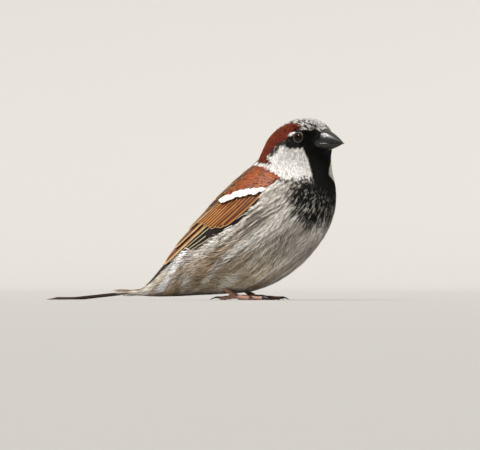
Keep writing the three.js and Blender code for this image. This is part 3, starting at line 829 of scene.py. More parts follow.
def atlas(count, t, ring):
    """The OFBake map of count blades: each has its own cell of a square grid."""
    side_cells = math.ceil(math.sqrt(count))
    cell = np.stack([np.arange(count) % side_cells, np.arange(count) // side_cells], -1)[:, None, None]
    u = np.concatenate([np.linspace(0.05, 0.48, 6), np.linspace(0.55, 0.92, ring - 6)])
    inner = np.stack(np.broadcast_arrays(u[None, :], 0.05 + 0.9 * t[:, None]), -1)[None]
    return (cell + inner) / side_cells


def wing_blades(sign, root, tip, inner, outer, lifts, bow=0.0, rows=16, twist=0.05, root_share=0.12, tip_share=0.2):
    """Blades on the folded wing. root and tip are (feathers, 2) arrays of station and degrees, and each shaft runs
    straight between them on the outline, bowed towards the lower edge by bow degrees."""
    count = len(root)
    t = 1 - (1 - np.linspace(0, 1, rows)) ** 1.5
    path = root[:, None] + (tip - root)[:, None] * t[:, None]
    s = path[..., 0]
    f = np.radians(path[..., 1] + bow * 4 * t * (1 - t)) * sign
    lift = lifts[:, :1] + (lifts[:, 1:] - lifts[:, :1]) * t
    p = lay(s, f, lift)
    _, out, _, _ = read(s, f)
    forward = unit(np.gradient(p, axis=1))
    beside = unit(np.cross(out, forward)) * -sign
    run = np.concatenate([np.zeros((count, 1)), np.cumsum(np.linalg.norm(np.diff(p, axis=1), axis=-1), 1)], 1)
    inner, outer = (web(np.full((count, 1), width), t, root_share, tip_share) for width in (inner, outer))
    points, vane = blades(p, beside, out, inner, outer, run, cup=0.02, twist=twist)
    return points, vane, atlas(count, t, points.shape[2])


def spread(corners, count):
    """count points evenly along a broken line."""
    corners = np.array(corners, float)
    at = np.linspace(0, len(corners) - 1, count)
    return np.stack([np.interp(at, np.arange(len(corners)), corners[:, k]) for k in range(corners.shape[1])], -1)


# %% [markdown]
# ## Material of the vanes
# A vane is the same keratin as the coat, but its barbs are zipped together, so it is smoother and has a faint sheen
# along them. Its colours are laid across it: a pale margin, a dark web, and a shaft. Barbs leave the shaft at 35
# degrees, drawn 0.3 mm apart, coarser than the real 0.1 mm so that they can show.

# %% Vane materials
def vane_material(name, web_colour, margin_colour, shaft_colour, margin_mm, soft_mm=0.3, centre_colour=None,
                  centre_mm=0.0, rough=0.5, uneven=0.2):
    material, tree, output = new_material(name)
    at = add(tree, "ShaderNodeAttribute", {"attribute_name": "vane"})
    parts = add(tree, "ShaderNodeSeparateXYZ", links={"Vector": at.outputs["Vector"]})
    margin, across, along = (parts.outputs[k] for k in "XYZ")
    away = add(tree, "ShaderNodeMath", {"operation": "ABSOLUTE"}, links={0: across})
    place = add(tree, "ShaderNodeTexCoord")
    drift = add(tree, "ShaderNodeTexNoise", values={"Scale": 1 / (2.5 * MM), "Detail": 4.0},
                links={"Vector": place.outputs["Object"]})
    ragged = add(tree, "ShaderNodeMath", {"operation": "MULTIPLY_ADD"}, {1: 0.5, 2: -0.25},
                 {0: drift.outputs["Fac"]})
    edge = add(tree, "ShaderNodeMath", {"operation": "ADD"}, links={0: margin, 1: ragged.outputs[0]})
    inside = add(tree, "ShaderNodeMapRange", {"interpolation_type": "SMOOTHSTEP"},
                 {"From Min": margin_mm, "From Max": margin_mm + soft_mm}, {"Value": edge.outputs[0]})
    colour = add(tree, "ShaderNodeMix", {"data_type": "RGBA"}, {6: rgba(margin_colour), 7: rgba(web_colour)},
                 {0: inside.outputs["Result"]})
    if centre_colour:
        core = add(tree, "ShaderNodeMapRange", {"interpolation_type": "SMOOTHSTEP"},
                   {"From Min": centre_mm, "From Max": centre_mm + 0.5, "To Min": 1.0, "To Max": 0.0},
                   {"Value": away.outputs[0]})
        both = add(tree, "ShaderNodeMath", {"operation": "MULTIPLY"},
                   links={0: core.outputs["Result"], 1: inside.outputs["Result"]})
        colour = add(tree, "ShaderNodeMix", {"data_type": "RGBA"}, {7: rgba(centre_colour)},
                     {0: both.outputs[0], 6: colour.outputs[2]})
    on_shaft = add(tree, "ShaderNodeMapRange", {"interpolation_type": "SMOOTHSTEP"},
                   {"From Min": 0.08, "From Max": 0.2, "To Min": 0.8, "To Max": 0.0}, {"Value": away.outputs[0]})
    colour = add(tree, "ShaderNodeMix", {"data_type": "RGBA"}, {7: rgba(shaft_colour)},
                 {0: on_shaft.outputs["Result"], 6: colour.outputs[2]})
    slant = add(tree, "ShaderNodeMath", {"operation": "MULTIPLY_ADD"}, {1: -1.4}, {0: away.outputs[0], 2: along})
    barb = add(tree, "ShaderNodeMath", {"operation": "PINGPONG"}, {1: 0.15}, {0: slant.outputs[0]})
    tone = add(tree, "ShaderNodeMapRange", values={"From Max": 0.15, "To Min": 0.72, "To Max": 1.12},
               links={"Value": barb.outputs[0]})
    patchy = add(tree, "ShaderNodeMapRange",
                 values={"From Min": 0.35, "From Max": 0.65, "To Min": 1 - uneven, "To Max": 1 + uneven},
                 links={"Value": drift.outputs["Fac"]})
    both = add(tree, "ShaderNodeMath", {"operation": "MULTIPLY"},
               links={0: tone.outputs["Result"], 1: patchy.outputs["Result"]})
    shown = add(tree, "ShaderNodeVectorMath", {"operation": "SCALE"},
                links={"Vector": colour.outputs[2], "Scale": both.outputs[0]})
    bump = add(tree, "ShaderNodeBump", values={"Strength": 0.3, "Distance": 0.1 * MM},
               links={"Height": barb.outputs[0]})
    shader = add(tree, "ShaderNodeBsdfPrincipled", values={"Roughness": rough, "Specular IOR Level": 0.35,
                 "Sheen Weight": 0.03},
                 links={"Base Color": shown.outputs["Vector"], "Normal": bump.outputs["Normal"]})
    tree.links.new(shader.outputs["BSDF"], output.inputs["Surface"])
    return material


# chestnut lesser coverts: paler margins, and darker centres that are painted shade
LESSER = vane_material("chestnut_covert_keratin", "#8c3b0e", "#bd6a2e", "#4f1f08", 0.1, 0.7, "#6b2a0b", 0.1,
                       uneven=0.42)
MEDIAN = vane_material("white_tipped_covert_keratin", "#f9f7f3", "#fbfaf7", "#e4dfd8", 0.3)
GREATER = vane_material("brown_covert_keratin", "#b86d25", "#f0c088", "#2e1608", 0.22, 0.2, "#4a250b", 0.35)
PRIMARY_COVERT = vane_material("dark_covert_keratin", "#17110d", "#5a3820", "#0d0907", 0.1, 0.2)
TERTIAL = vane_material("buff_edged_tertial_keratin", "#8a5524", "#dcb98c", "#22140b", 0.35, 1.9, "#1a100a", 0.3)
FLIGHT = vane_material("flight_feather_keratin", "#110c0a", "#ffe8c2", "#0b0807", 0.45, 0.12)
PRIMARY = vane_material("primary_keratin", "#1a1310", "#75583c", "#0f0b09", 0.16, 0.2)
SCAPULAR = vane_material("streaked_scapular_keratin", "#9c5c2e", "#d9ac78", "#120c09", 0.14, 0.4, "#15100c", 0.42)
RECTRIX = vane_material("tail_feather_keratin", "#43342a", "#7d654c", "#1f1610", 0.12, 0.2)
# a dark plate under the wing: painted shade between its feathers
WING_GAP_SHADE = vane_material("painted_shade_under_wing_feathers", "#2a211b", "#2a211b", "#2a211b", 0.1)
print("vane materials:", *(m.name for m in (LESSER, MEDIAN, GREATER, PRIMARY_COVERT, TERTIAL, FLIGHT, PRIMARY, SCAPULAR,
                                            RECTRIX, WING_GAP_SHADE)))


# %% [markdown]
# ## The folded wing
# Folded, the feathers slide under each other like a fan: primaries lowest and longest, then secondaries, the three
# tertials on top, and over their roots the coverts, greater, median and lesser, each row laid over the next. Rows are
# placed by the broken lines of their roots and tips on the wing.

# %% Wings, row by row
def flight_rows():
    """Each row: name, material, count, roots, tips, inner and outer web in mm, lift at root and tip, bow."""
    return [
        ("primaries", PRIMARY, 6, [(6.4, 77), (6.0, 66)], [(2.1, 66), (1.0, 47)], 2.4, 1.3, (-1.4, -0.1), 3),
        ("secondaries", FLIGHT, 4, [(6.6, 74), (6.6, 50)], [(3.5, 67), (2.3, 53.5)], 3.2, 1.8, (-1.1, -0.02), 1),
        ("tertials", TERTIAL, 3, [(6.4, 50), (6.2, 32)], [(2.3, 50), (4.2, 29)], 2.9, 2.9, (-0.8, 0.5), 2),
        ("primary_coverts", PRIMARY_COVERT, 5, [(8.5, 79), (8.2, 71)], [(5.2, 80), (5.1, 71)], 2.2, 1.5,
         (-1.1, -0.4), 0),
        ("greater_coverts", GREATER, 11, [(8.2, 75), (7.6, 65), (7.0, 56), (6.5, 47), (6.1, 36)],
         [(6.0, 75), (5.55, 69), (5.2, 59), (4.95, 49), (4.7, 37)], 2.0, 1.5, (-0.8, 0.1), 0),
        ("median_coverts", MEDIAN, 12, [(8.8, 74), (8.35, 62), (7.85, 52), (7.35, 44.5), (6.95, 39)],
         [(7.98, 74.5), (7.4, 64), (6.8, 55), (6.35, 48), (6.1, 41)], 2.0, 1.7, (-0.5, 0.35), 0),
    ]


def make_wing(label, sign):
    for name, material, count, roots, tips, inner, outer, lifts, bow in flight_rows():
        root, tip = spread(roots, count), spread(tips, count)
        order = np.linspace(0, 1, count)[:, None]
        stack = np.array(lifts)[None] + 0.32 * (order - 0.5) * [0.6, 1]
        root = root + rng.normal(0, 0.02, root.shape) * [1, 8]
        tip = tip + rng.normal(0, 0.04, tip.shape) * [1, 5]
        points, vane, bake = wing_blades(sign, root, tip, inner, outer, stack, bow,
                                         root_share=0.1, tip_share=0.14 if name != "median_coverts" else 0.35)
        ring_solids(f"wing_{label}_{name}", points, material, f"wing_{label}", vane, bake)


def small_coverts(label, sign):
    """Rows of small chestnut feathers from the bend of the wing back to the pale bar, each over the next."""
    rows, a_row = 9, 12
    front = spread([(9.15, 79), (8.95, 67), (8.75, 57), (8.55, 49), (8.3, 41)], a_row)
    bar = spread([(8.3, 74), (7.78, 61), (7.3, 51), (6.8, 44), (6.45, 39)], a_row)
    tips = []
    for row in range(rows):
        line = blend(front, bar, row / (rows - 1))
        shift = (line[2] - line[0]) / 4 * (row % 2)
        tips.append(line + shift + rng.normal(0, 1, line.shape) * [0.03, 0.8])
    tip = np.concatenate(tips)
    root = np.minimum(tip + [0.8, 1], [9.5, 90])
    level = np.repeat(np.linspace(0.25, 0, rows), a_row)[:, None]
    lifts = level + np.array([-0.75, 0.3]) + rng.normal(0, 0.04, root.shape)
    points, vane, bake = wing_blades(sign, root, tip, 1.6, 1.6, lifts, rows=8, twist=0.0, tip_share=0.35)
    ring_solids(f"wing_{label}_lesser_coverts", points, LESSER, f"wing_{label}", vane, bake)


def shoulder_feathers(label, sign):
    """Long streaked feathers that cover the join of wing and back."""
    roots, tips = [], []
    for row, back in enumerate(np.linspace(0, 1, 8)):
        line = spread([(9.1 - 3.0 * back, 39 - 8 * back), (9.1 - 3.0 * back, 1)], 9) + [0, 2.2 * (row % 2)]
        roots.append(line + rng.normal(0, 1, line.shape) * [0.05, 1.5])
        tips.append(line + [-1.7, 0.5] + rng.normal(0, 1, line.shape) * [0.2, 1.5])
    root, tip = np.concatenate(roots), np.concatenate(tips)
    lifts = np.array([-0.7, 0.35]) + rng.normal(0, 0.06, root.shape)
    points, vane, bake = wing_blades(sign, root, tip, 1.25, 1.25, lifts, rows=10, twist=0.0, tip_share=0.6)
    ring_solids(f"wing_{label}_scapulars", points, SCAPULAR, f"wing_{label}", vane, bake)


def wing_bed(label, sign):
    """A dark closed plate under the feathers, so that no skin shows between them: the wing's place, sunk by 1.5 mm. Its
    dark colour is painted shade in the gaps between the feathers.
    """
    s, b = np.meshgrid(np.linspace(1.15, 9.2, 40), np.linspace(0, 1, 10), indexing="ij")
    f = np.radians(blend(wing_upper(s) + 2, wing_lower(s) - 2, b)) * sign
    top, under = lay(s, f, np.full(s.shape, -1.5)), lay(s, f, np.full(s.shape, -2.2))
    points = np.concatenate([top, under[:, ::-1]], 1)
    flat = np.concatenate([np.stack([s / 20, b / 2], -1), np.stack([s / 20, 1 - b[:, ::-1] / 2], -1)], 1)
    ring_solids(f"wing_{label}_bed", points, WING_GAP_SHADE, f"wing_{label}", np.ones(points.shape), flat)


for label, sign in (("left", 1), ("right", -1)):
    wing_bed(label, sign)
    make_wing(label, sign)
    small_coverts(label, sign)
    shoulder_feathers(label, sign)

# %% [markdown]
# ## The tail
# Twelve feathers, six a side, stacked like a hand of cards with the middle pair on top. They leave the rump under
# their coverts and lie on the ground towards the tip, which is a shallow notch.

# %% Tail
TAIL_ROOT_X, TAIL_TIP_X = -40.0, -88.0
TAIL_HALF_WIDTH = 8.6


def make_tail():
    """Six layers a side, from the outer feather on the ground to the middle one 0.18 mm above the last. Each runs
    down from the rump, by 2.5 mm in a straight line, and then along the ground."""
    t = 1 - (1 - np.linspace(0, 1, 22)) ** 1.5
    number = np.repeat(np.arange(1, 7), 2)
    sign = np.tile([1, -1], 6)
    tip_x = TAIL_TIP_X + 1.8 * (1 - number / 6) + 0.25
    x = TAIL_ROOT_X + (tip_x[:, None] - TAIL_ROOT_X) * t
    along = np.clip((-48 - x) / 40, 0, 1)
    y = sign[:, None] * blend(0.35 + 0.72 * (number - 1)[:, None], 1.1 + 1.2 * (number - 1)[:, None],
                              1 - (1 - along) ** 1.6)
    ground = np.clip(2.5 * (1 - along / 0.72), 0, None)
    z = ground + 0.24 + 0.18 * (6 - number)[:, None] + 0.35 * (1 - along) + 0.04 * (sign[:, None] > 0)
    p = np.stack([x, y, z], -1)
    out = np.broadcast_to([0, 0, 1.0], p.shape)
    forward = unit(np.gradient(p, axis=1))
    beside = unit(np.cross(out, forward)) * -sign[:, None, None]
    run = np.concatenate([np.zeros((12, 1)), np.cumsum(np.linalg.norm(np.diff(p, axis=1), axis=-1), 1)], 1)
    inner = web(np.full((12, 1), 3.1), t, 0.3, 0.12)
    outer = web(blend(2.6, 1.55, (number[:, None] - 1) / 5), t, 0.3, 0.12)
    points, vane = blades(p, beside, out, inner, outer, run, thick=0.16, cup=0.012, twist=-0.02)
    points[..., 2] = np.maximum(points[..., 2], 0.0)
    order = np.argsort(sign, kind="stable")
    for chosen, label in ((order[:6], "right"), (order[6:], "left")):
        ring_solids(f"tail_feathers_{label}", points[chosen], RECTRIX, "tail", vane[chosen],
                    atlas(6, t, points.shape[2]))


make_tail()

# %% [markdown]
# ## Bill
# Two horny sheaths, black in the breeding season. Each is an arch from the cutting edge over a ridge, narrowing to the
# tip by a power curve. At the sides they run back to the corners of the mouth, so their first rings flare out and dive
# under the face feathers, and no edge shows at the base.

# %% Bill
BILL_BASE_X, FLARE_X, BILL_TIP_X, BILL_HALF_WIDTH = 47.8, 48.4, 58.2, 3.9
CULMEN_BASE_Z, GAPE_Z, CHIN_Z, BILL_TIP_Z = 74.2, 68.4, 65.0, 68.0
GAPE_F = math.radians(108)     # the corner of the mouth, from the middle of the back
SHEATHS = {True: (CULMEN_BASE_Z, BILL_TIP_Z, BILL_TIP_X, 1.55),     # ridge at base and tip, tip, power of its curve
           False: (CHIN_Z, BILL_TIP_Z - 0.25, BILL_TIP_X - 0.9, 1.5)}


def horn_material(name, colour, pale, rough):
    """Keratin in thin layers: nearly smooth, with faint paler streaks along its growth, and paler on the ridge as a
    painted highlight.
    """
    material, tree, output = new_material(name)
    place = add(tree, "ShaderNodeTexCoord")
    stretched = add(tree, "ShaderNodeMapping", values={"Scale": (0.25, 1.0, 1.0)},
                    links={"Vector": place.outputs["Object"]})
    streak = add(tree, "ShaderNodeTexNoise", values={"Scale": 1 / (0.5 * MM), "Detail": 5.0},
                 links={"Vector": stretched.outputs["Vector"]})
    share = add(tree, "ShaderNodeMapRange", values={"From Min": 0.45, "From Max": 0.8, "To Max": 0.4},
                links={"Value": streak.outputs["Fac"]})
    at = add(tree, "ShaderNodeAttribute", {"attribute_name": "vane"})
    parts = add(tree, "ShaderNodeSeparateXYZ", links={"Vector": at.outputs["Vector"]})
    # a paler ridge: a painted highlight along the top of the bill
    ridge = add(tree, "ShaderNodeMapRange", values={"From Min": 0.75, "From Max": 1.0, "To Max": 0.8},
                links={"Value": parts.outputs["X"]})
    both = add(tree, "ShaderNodeMath", {"operation": "MAXIMUM"},
               links={0: share.outputs["Result"], 1: ridge.outputs["Result"]})
    shown = add(tree, "ShaderNodeMix", {"data_type": "RGBA"}, {6: rgba(colour), 7: rgba(pale)}, {0: both.outputs[0]})
    bump = add(tree, "ShaderNodeBump", values={"Strength": 0.2, "Distance": 0.05 * MM},
               links={"Height": streak.outputs["Fac"]})
    shader = add(tree, "ShaderNodeBsdfPrincipled", values={"Roughness": rough, "Specular IOR Level": 0.6},
                 links={"Base Color": shown.outputs[2], "Normal": bump.outputs["Normal"]})
    tree.links.new(shader.outputs["BSDF"], output.inputs["Surface"])
    return material


HORN = horn_material("black_bill_horn", "#0b0a0b", "#4b4745", 0.35)


def free_bill(x, f, upper):
    """Across: half width 1 - share^1.35, times -cos a; up: from the cutting edge to the ridge by sin a to the 0.85.
    a runs from one corner of the mouth over the ridge to the other."""
    wide, turn = (GAPE_F, f) if upper else (math.pi - GAPE_F, math.pi - f % (2 * math.pi))
    a = math.pi / 2 * (1 + turn / wide)
    ridge_base, ridge_tip, tip_x, power = SHEATHS[upper]
    share = np.clip((x - BILL_BASE_X) / (tip_x - BILL_BASE_X), 0, 0.992)
    side = 1 if upper else -1
    lip = GAPE_Z + 0.03 * side + (BILL_TIP_Z - GAPE_Z) * share**4 - 0.25 * share * upper
    z = lip + (ridge_base + (ridge_tip - ridge_base) * share**power - lip) * np.sin(a) ** 0.85
    y = -BILL_HALF_WIDTH * (1 - share**1.35) * np.cos(a)
    nostril = np.exp(-(((x - 49.8) / 0.5) ** 2) - ((z - 71.6) / 0.35) ** 2) * upper
    return turned(np.stack([x, y - 0.25 * np.sign(y) * nostril, z], -1), np.full(x.shape, S_TO))


def flare(q, f, upper):
    """From the face, under the last feathers, to the free bill: a cubic that leaves along the face and arrives along
    the bill. q goes from 0 to 1."""
    start, out, along, _ = read(bill_edge(f), f)
    start = start - 0.25 * out
    end = free_bill(np.full(np.shape(f), FLARE_X), f, upper)
    reach = np.linalg.norm(end - start, axis=-1, keepdims=True)
    ahead = np.array([math.cos(HEAD_TURN), math.sin(HEAD_TURN), 0])
    q = np.asarray(q)[..., None]
    return ((2 * q**3 - 3 * q**2 + 1) * start + (q**3 - 2 * q**2 + q) * reach * unit(along)
            + (3 * q**2 - 2 * q**3) * end + (q**3 - q**2) * reach * ahead)


def mandible(name, upper, node):
    """Ten rings of the flare, then forty of the free bill."""
    f = np.linspace(-GAPE_F, GAPE_F, 26) if upper else np.linspace(GAPE_F, 2 * math.pi - GAPE_F, 26)
    q, wide = np.meshgrid(np.linspace(0, 1, 11)[:-1], f, indexing="ij")
    base = flare(q, wrapped(wide), upper)
    x, wide = np.meshgrid(blend(FLARE_X, SHEATHS[upper][2], np.linspace(0, 1, 40) ** 0.9), f, indexing="ij")
    points = np.concatenate([base, free_bill(x, wide, upper)])
    if not upper:
        points = points[:, ::-1]
    rings, size = points.shape[:2]
    t, a = np.meshgrid(np.linspace(0, 1, rings), np.linspace(0, 1, size), indexing="ij")
    ridge = np.sin(a * math.pi) * (1.0 if upper else 0.7)      # only the upper ridge reaches the painted highlight
    ring_solids(name, points, HORN, node, np.stack([ridge, t, a], -1), np.stack([t, a], -1) * 0.9 + 0.05)


mandible("bill_upper_sheath", True, "bill_upper")
mandible("bill_lower_sheath", False, "bill_lower")

# %% [markdown]
# ## Tufts at the base of the bill
# Short stiff feathers lie forwards over the bill's base and hide the nostrils. They are the only ones that point
# ahead, so they are made apart: fans of strips between a point on the face and one on the bill, arched a little.

# %% Tufts over the bill
def make_bill_tufts(count=520, strips=5):
    f = np.linspace(-math.pi, math.pi, count, endpoint=False) + rng.normal(0, 0.05, count)
    f = wrapped(f)
    s = bill_edge(f) - rng.uniform(0.02, 0.25, count)
    root, out, _, _ = read(s, f)
    upper = np.abs(f) < GAPE_F
    full = np.linalg.norm(free_bill(np.full(count, FLARE_X), f, True) - read(bill_edge(f), f)[0], axis=-1)
    q = np.clip(rng.uniform(0.3, 1.1, count) / full, 0.1, 0.9)
    end = np.where(upper[:, None], flare(q, np.where(upper, f, 0), True), flare(q, np.where(upper, math.pi, f), False))
    end = end + 0.12 * out
    aside = unit(np.cross(out, end - root))
    t = np.append(ROWS, 1.0)[None, None, :, None]
    v = (np.linspace(-1, 1, strips) + rng.normal(0, 0.1, (count, strips)))[..., None, None]
    root, end, out, aside = (x[:, None, None] for x in (root, end, out, aside))
    middle = root + (end - root) * t + out * (1.1 * t * (1 - t) - 0.3 * (1 - t)) + aside * v * 0.6 * t
    half = 0.11 * np.array([0.6, 1, 0.8, 0])[:, None]
    pair = np.stack([middle - aside * half, middle + aside * half], 3)
    points = np.concatenate([pair[:, :, :3].reshape(count, strips, 6, 3), pair[:, :, 3:, 0]], 2)
    vane, shaft, tip = plumage(s, np.degrees(f), rng.random(count))
    bristle = ((np.abs(f) < 0.6) & (rng.random(count) < 0.4))[:, None]
    colours = np.where(bristle, BLACK, blend(shaft, tip, 0.4))[:, None, None]
    colours = colours * rng.uniform(0.7, 1.2, (count, strips, 1, 1))
    corner = np.array([[-1, -1], [1, -1], [-1, 0], [1, 0], [-1, 1], [1, 1], [0, 1.2]]) * 0.0006
    bake = unwrap(s, f)[:, None, None] + corner + np.linspace(-0.0009, 0.0009, strips)[:, None, None]
    piece("feathers_bill_base", points, strip_faces(count * strips), COAT,
          colours=np.broadcast_to(colours, points.shape), bake=bake)


make_bill_tufts()

# %% [markdown]
# ## Eyes and lids
# The eye is a ball that sits deep, with a dark brown iris so near to black that the pupil hardly shows. A narrow rim of
# bare skin closes round it, paler along its inner edge. The rim is a ring of rings: its section rises over the ball and
# dives under the feathers. A plain torus would leave a gap beside the ball, or stand on the feathers like a hoop.

# %% Eyes
def eye_material():
    """Wet and clear over a dark iris: a smooth coat gives the sharp catchlight."""
    material, tree, output = new_material("eye_cornea_over_iris")
    at = add(tree, "ShaderNodeAttribute", {"attribute_name": "vane"})
    parts = add(tree, "ShaderNodeSeparateXYZ", links={"Vector": at.outputs["Vector"]})
    inside = add(tree, "ShaderNodeMapRange", {"interpolation_type": "SMOOTHSTEP"},
                 {"From Min": 0.8, "From Max": 0.95}, {"Value": parts.outputs["X"]})
    iris = add(tree, "ShaderNodeMix", {"data_type": "RGBA"}, {6: rgba("#020101"), 7: rgba("#200e07")},
               {0: inside.outputs["Result"]})
    place = add(tree, "ShaderNodeTexCoord")
    fibres = add(tree, "ShaderNodeTexNoise", values={"Scale": 1 / (0.3 * MM)},
                 links={"Vector": place.outputs["Object"]})
    tone = add(tree, "ShaderNodeMapRange", values={"To Min": 0.6, "To Max": 1.3},
               links={"Value": fibres.outputs["Fac"]})
    shown = add(tree, "ShaderNodeVectorMath", {"operation": "SCALE"},
                links={"Vector": iris.outputs[2], "Scale": tone.outputs["Result"]})
    shader = add(tree, "ShaderNodeBsdfPrincipled", values={"Roughness": 0.06, "Specular IOR Level": 0.2},
                 links={"Base Color": shown.outputs["Vector"]})
    tree.links.new(shader.outputs["BSDF"], output.inputs["Surface"])
    return material


EYE = eye_material()


def lid_material():
    """Thin bare skin, black with a pale rim beside the eye."""
    material, tree, output = new_material("bare_eyelid_skin")
    at = add(tree, "ShaderNodeAttribute", {"attribute_name": "vane"})
    parts = add(tree, "ShaderNodeSeparateXYZ", links={"Vector": at.outputs["Vector"]})
    place = add(tree, "ShaderNodeTexCoord")
    worn = add(tree, "ShaderNodeTexNoise", values={"Scale": 1 / (0.9 * MM)},
               links={"Vector": place.outputs["Object"]})
    share = add(tree, "ShaderNodeMath", {"operation": "MULTIPLY"},
                links={0: parts.outputs["X"], 1: worn.outputs["Fac"]})
    shown = add(tree, "ShaderNodeMix", {"data_type": "RGBA"}, {6: rgba("#0d0b0a"), 7: rgba("#7b746c")},
                {0: share.outputs[0]})
    shader = add(tree, "ShaderNodeBsdfPrincipled", values={"Roughness": 0.5},
                 links={"Base Color": shown.outputs[2]})
    tree.links.new(shader.outputs["BSDF"], output.inputs["Surface"])
    return material


LID = lid_material()


def eye_axes(sign):
    """Outwards from the eye, up, and along the head, from the outline's direction beside it."""
    centre = eye_place(sign)
    near = np.linalg.norm(TABLE[..., 0:3] - (centre + [0, sign * 2.5, 0]), axis=-1)
    i, j = np.unravel_index(near.argmin(), near.shape)
    outward = unit(TABLE[i, j, 3:6] * [0.6, 1, 0.3])
    up = unit(np.array([0, 0, 1.0]) - outward * outward[2])
    return centre, outward, up, np.cross(up, outward)


def make_eye(label, sign):
    centre, outward, up, along = eye_axes(sign)
    polar, a = np.meshgrid(np.linspace(0.02, math.pi - 0.02, 40), np.linspace(0, 2 * math.pi, 48, endpoint=False),
                           indexing="ij")
    bulge = EYE_RADIUS + 0.06 * np.exp(-((polar / 0.5) ** 2))
    across = bulge * np.sin(polar)
    points = centre + (outward * (bulge * np.cos(polar))[..., None] + up * (across * np.sin(a))[..., None]
                       + along * (across * np.cos(a))[..., None])
    flat = np.stack([0.5 + polar / 7 * np.cos(a), 0.5 + polar / 7 * np.sin(a)], -1)
    behind = 9 * (polar > math.pi / 2)      # keeps the pupil off the back of the ball
    ring_solids(f"eyeball_{label}", points, EYE, f"eye_{label}", np.stack([across + behind, a, polar], -1), flat)


def make_lid(label, sign):
    """The rim's section in mm, as distance from the eye's axis and height along it, carried round the axis."""
    centre, outward, up, along = eye_axes(sign)
    section_mm = np.array([(2.04, 1.7), (2.02, 1.9), (2.1, 2.0), (2.22, 2.02), (2.4, 1.9), (2.7, 1.6), (3.1, 1.0),
                           (3.4, 0.3), (3.2, -0.2), (2.6, 0.3), (2.2, 1.2)])
    a, k = np.meshgrid(np.linspace(0, 2 * math.pi, 72, endpoint=False), np.arange(len(section_mm)), indexing="ij")
    away, height = section_mm[k, 0], section_mm[k, 1]
    height = height + 0.05 * np.sin(14 * a) * (k > 1) * (k < 6) - 0.1 * np.abs(np.cos(a))
    points = centre + (outward * height[..., None] + up * (away * 0.95 * np.sin(a))[..., None]
                       + along * (away * 1.04 * np.cos(a))[..., None])
    flat = np.stack([a / (2 * math.pi) * 0.9 + 0.05, k / 12 + 0.04], -1)
    rim = np.exp(-(((away - 2.2) / 0.16) ** 2)) * (k < 5)
    vane = np.stack([rim, a, k * 0.1], -1)
    piece(f"eyelid_{label}", points, outwards(points, ring_faces(*a.shape, loop=True)), LID, vane=vane,
          bake=flat)


for label, sign in (("left", 1), ("right", -1)):
    make_eye(label, sign)
    make_lid(label, sign)

# %% [markdown]
# ## Feet
# A sparrow's tarsus and toes are covered in scutes, flat plates that overlap towards the claw. They show as small steps
# along the top, so the radius of each toe is a saw-tooth on its upper side and padded below. The undersides are flat
# where they press on the ground.

# %% Feet and claws
FOOT, HEEL = np.array([6, 8.6, 1.5]), np.array([-10, 9.8, 12.5])
TOES = {  # heading in degrees, positive outwards, length of the toe and of its claw, in mm
    "inner": (-24, 9.5, 3.6), "middle": (2, 13, 4.2), "outer": (27, 10, 3.6), "hind": (176, 7.2, 4.8),
}


def scale_material():
    """Dry horny skin, pinkish brown, darker in the joints between the scutes."""
    material, tree, output = new_material("scaly_leg_skin")
    at = add(tree, "ShaderNodeAttribute", {"attribute_name": "vane"})
    parts = add(tree, "ShaderNodeSeparateXYZ", links={"Vector": at.outputs["Vector"]})
    joint = add(tree, "ShaderNodeMapRange", values={"From Min": 0.0, "From Max": 0.35},
                links={"Value": parts.outputs["X"]})
    place = add(tree, "ShaderNodeTexCoord")
    grain = add(tree, "ShaderNodeTexNoise", values={"Scale": 1 / (0.4 * MM), "Detail": 4.0},
                links={"Vector": place.outputs["Object"]})
    shown = add(tree, "ShaderNodeMix", {"data_type": "RGBA"}, {6: rgba("#5d3f33"), 7: rgba("#b98d7b")},
                {0: joint.outputs["Result"]})
    tone = add(tree, "ShaderNodeMapRange", values={"To Min": 0.7, "To Max": 1.25},
               links={"Value": grain.outputs["Fac"]})
    scaled = add(tree, "ShaderNodeVectorMath", {"operation": "SCALE"},
                 links={"Vector": shown.outputs[2], "Scale": tone.outputs["Result"]})
    bump = add(tree, "ShaderNodeBump", values={"Strength": 0.3, "Distance": 0.05 * MM},
               links={"Height": grain.outputs["Fac"]})
    shader = add(tree, "ShaderNodeBsdfPrincipled", values={"Roughness": 0.5},
                 links={"Base Color": scaled.outputs["Vector"], "Normal": bump.outputs["Normal"]})
    tree.links.new(shader.outputs["BSDF"], output.inputs["Surface"])
    return material


SCALES = scale_material()
CLAW = horn_material("dark_claw_horn", "#211b18", "#5a4a40", 0.35)


def curve(points, rows):
    """A Catmull-Rom curve through the points, at rows evenly spaced places."""
    points = np.array(points, float)
    padded = np.vstack([2 * points[0] - points[1], points, 2 * points[-1] - points[-2]])
    at = np.linspace(0, len(points) - 1, rows)
    i = np.minimum(at.astype(int), len(points) - 2)
    t = (at - i)[:, None]
    a, b, c, d = (padded[i + k] for k in range(4))
    return 0.5 * (2 * b + (c - a) * t + (2 * a - 5 * b + 4 * c - d) * t**2 + (3 * b - a - 3 * c + d) * t**3)


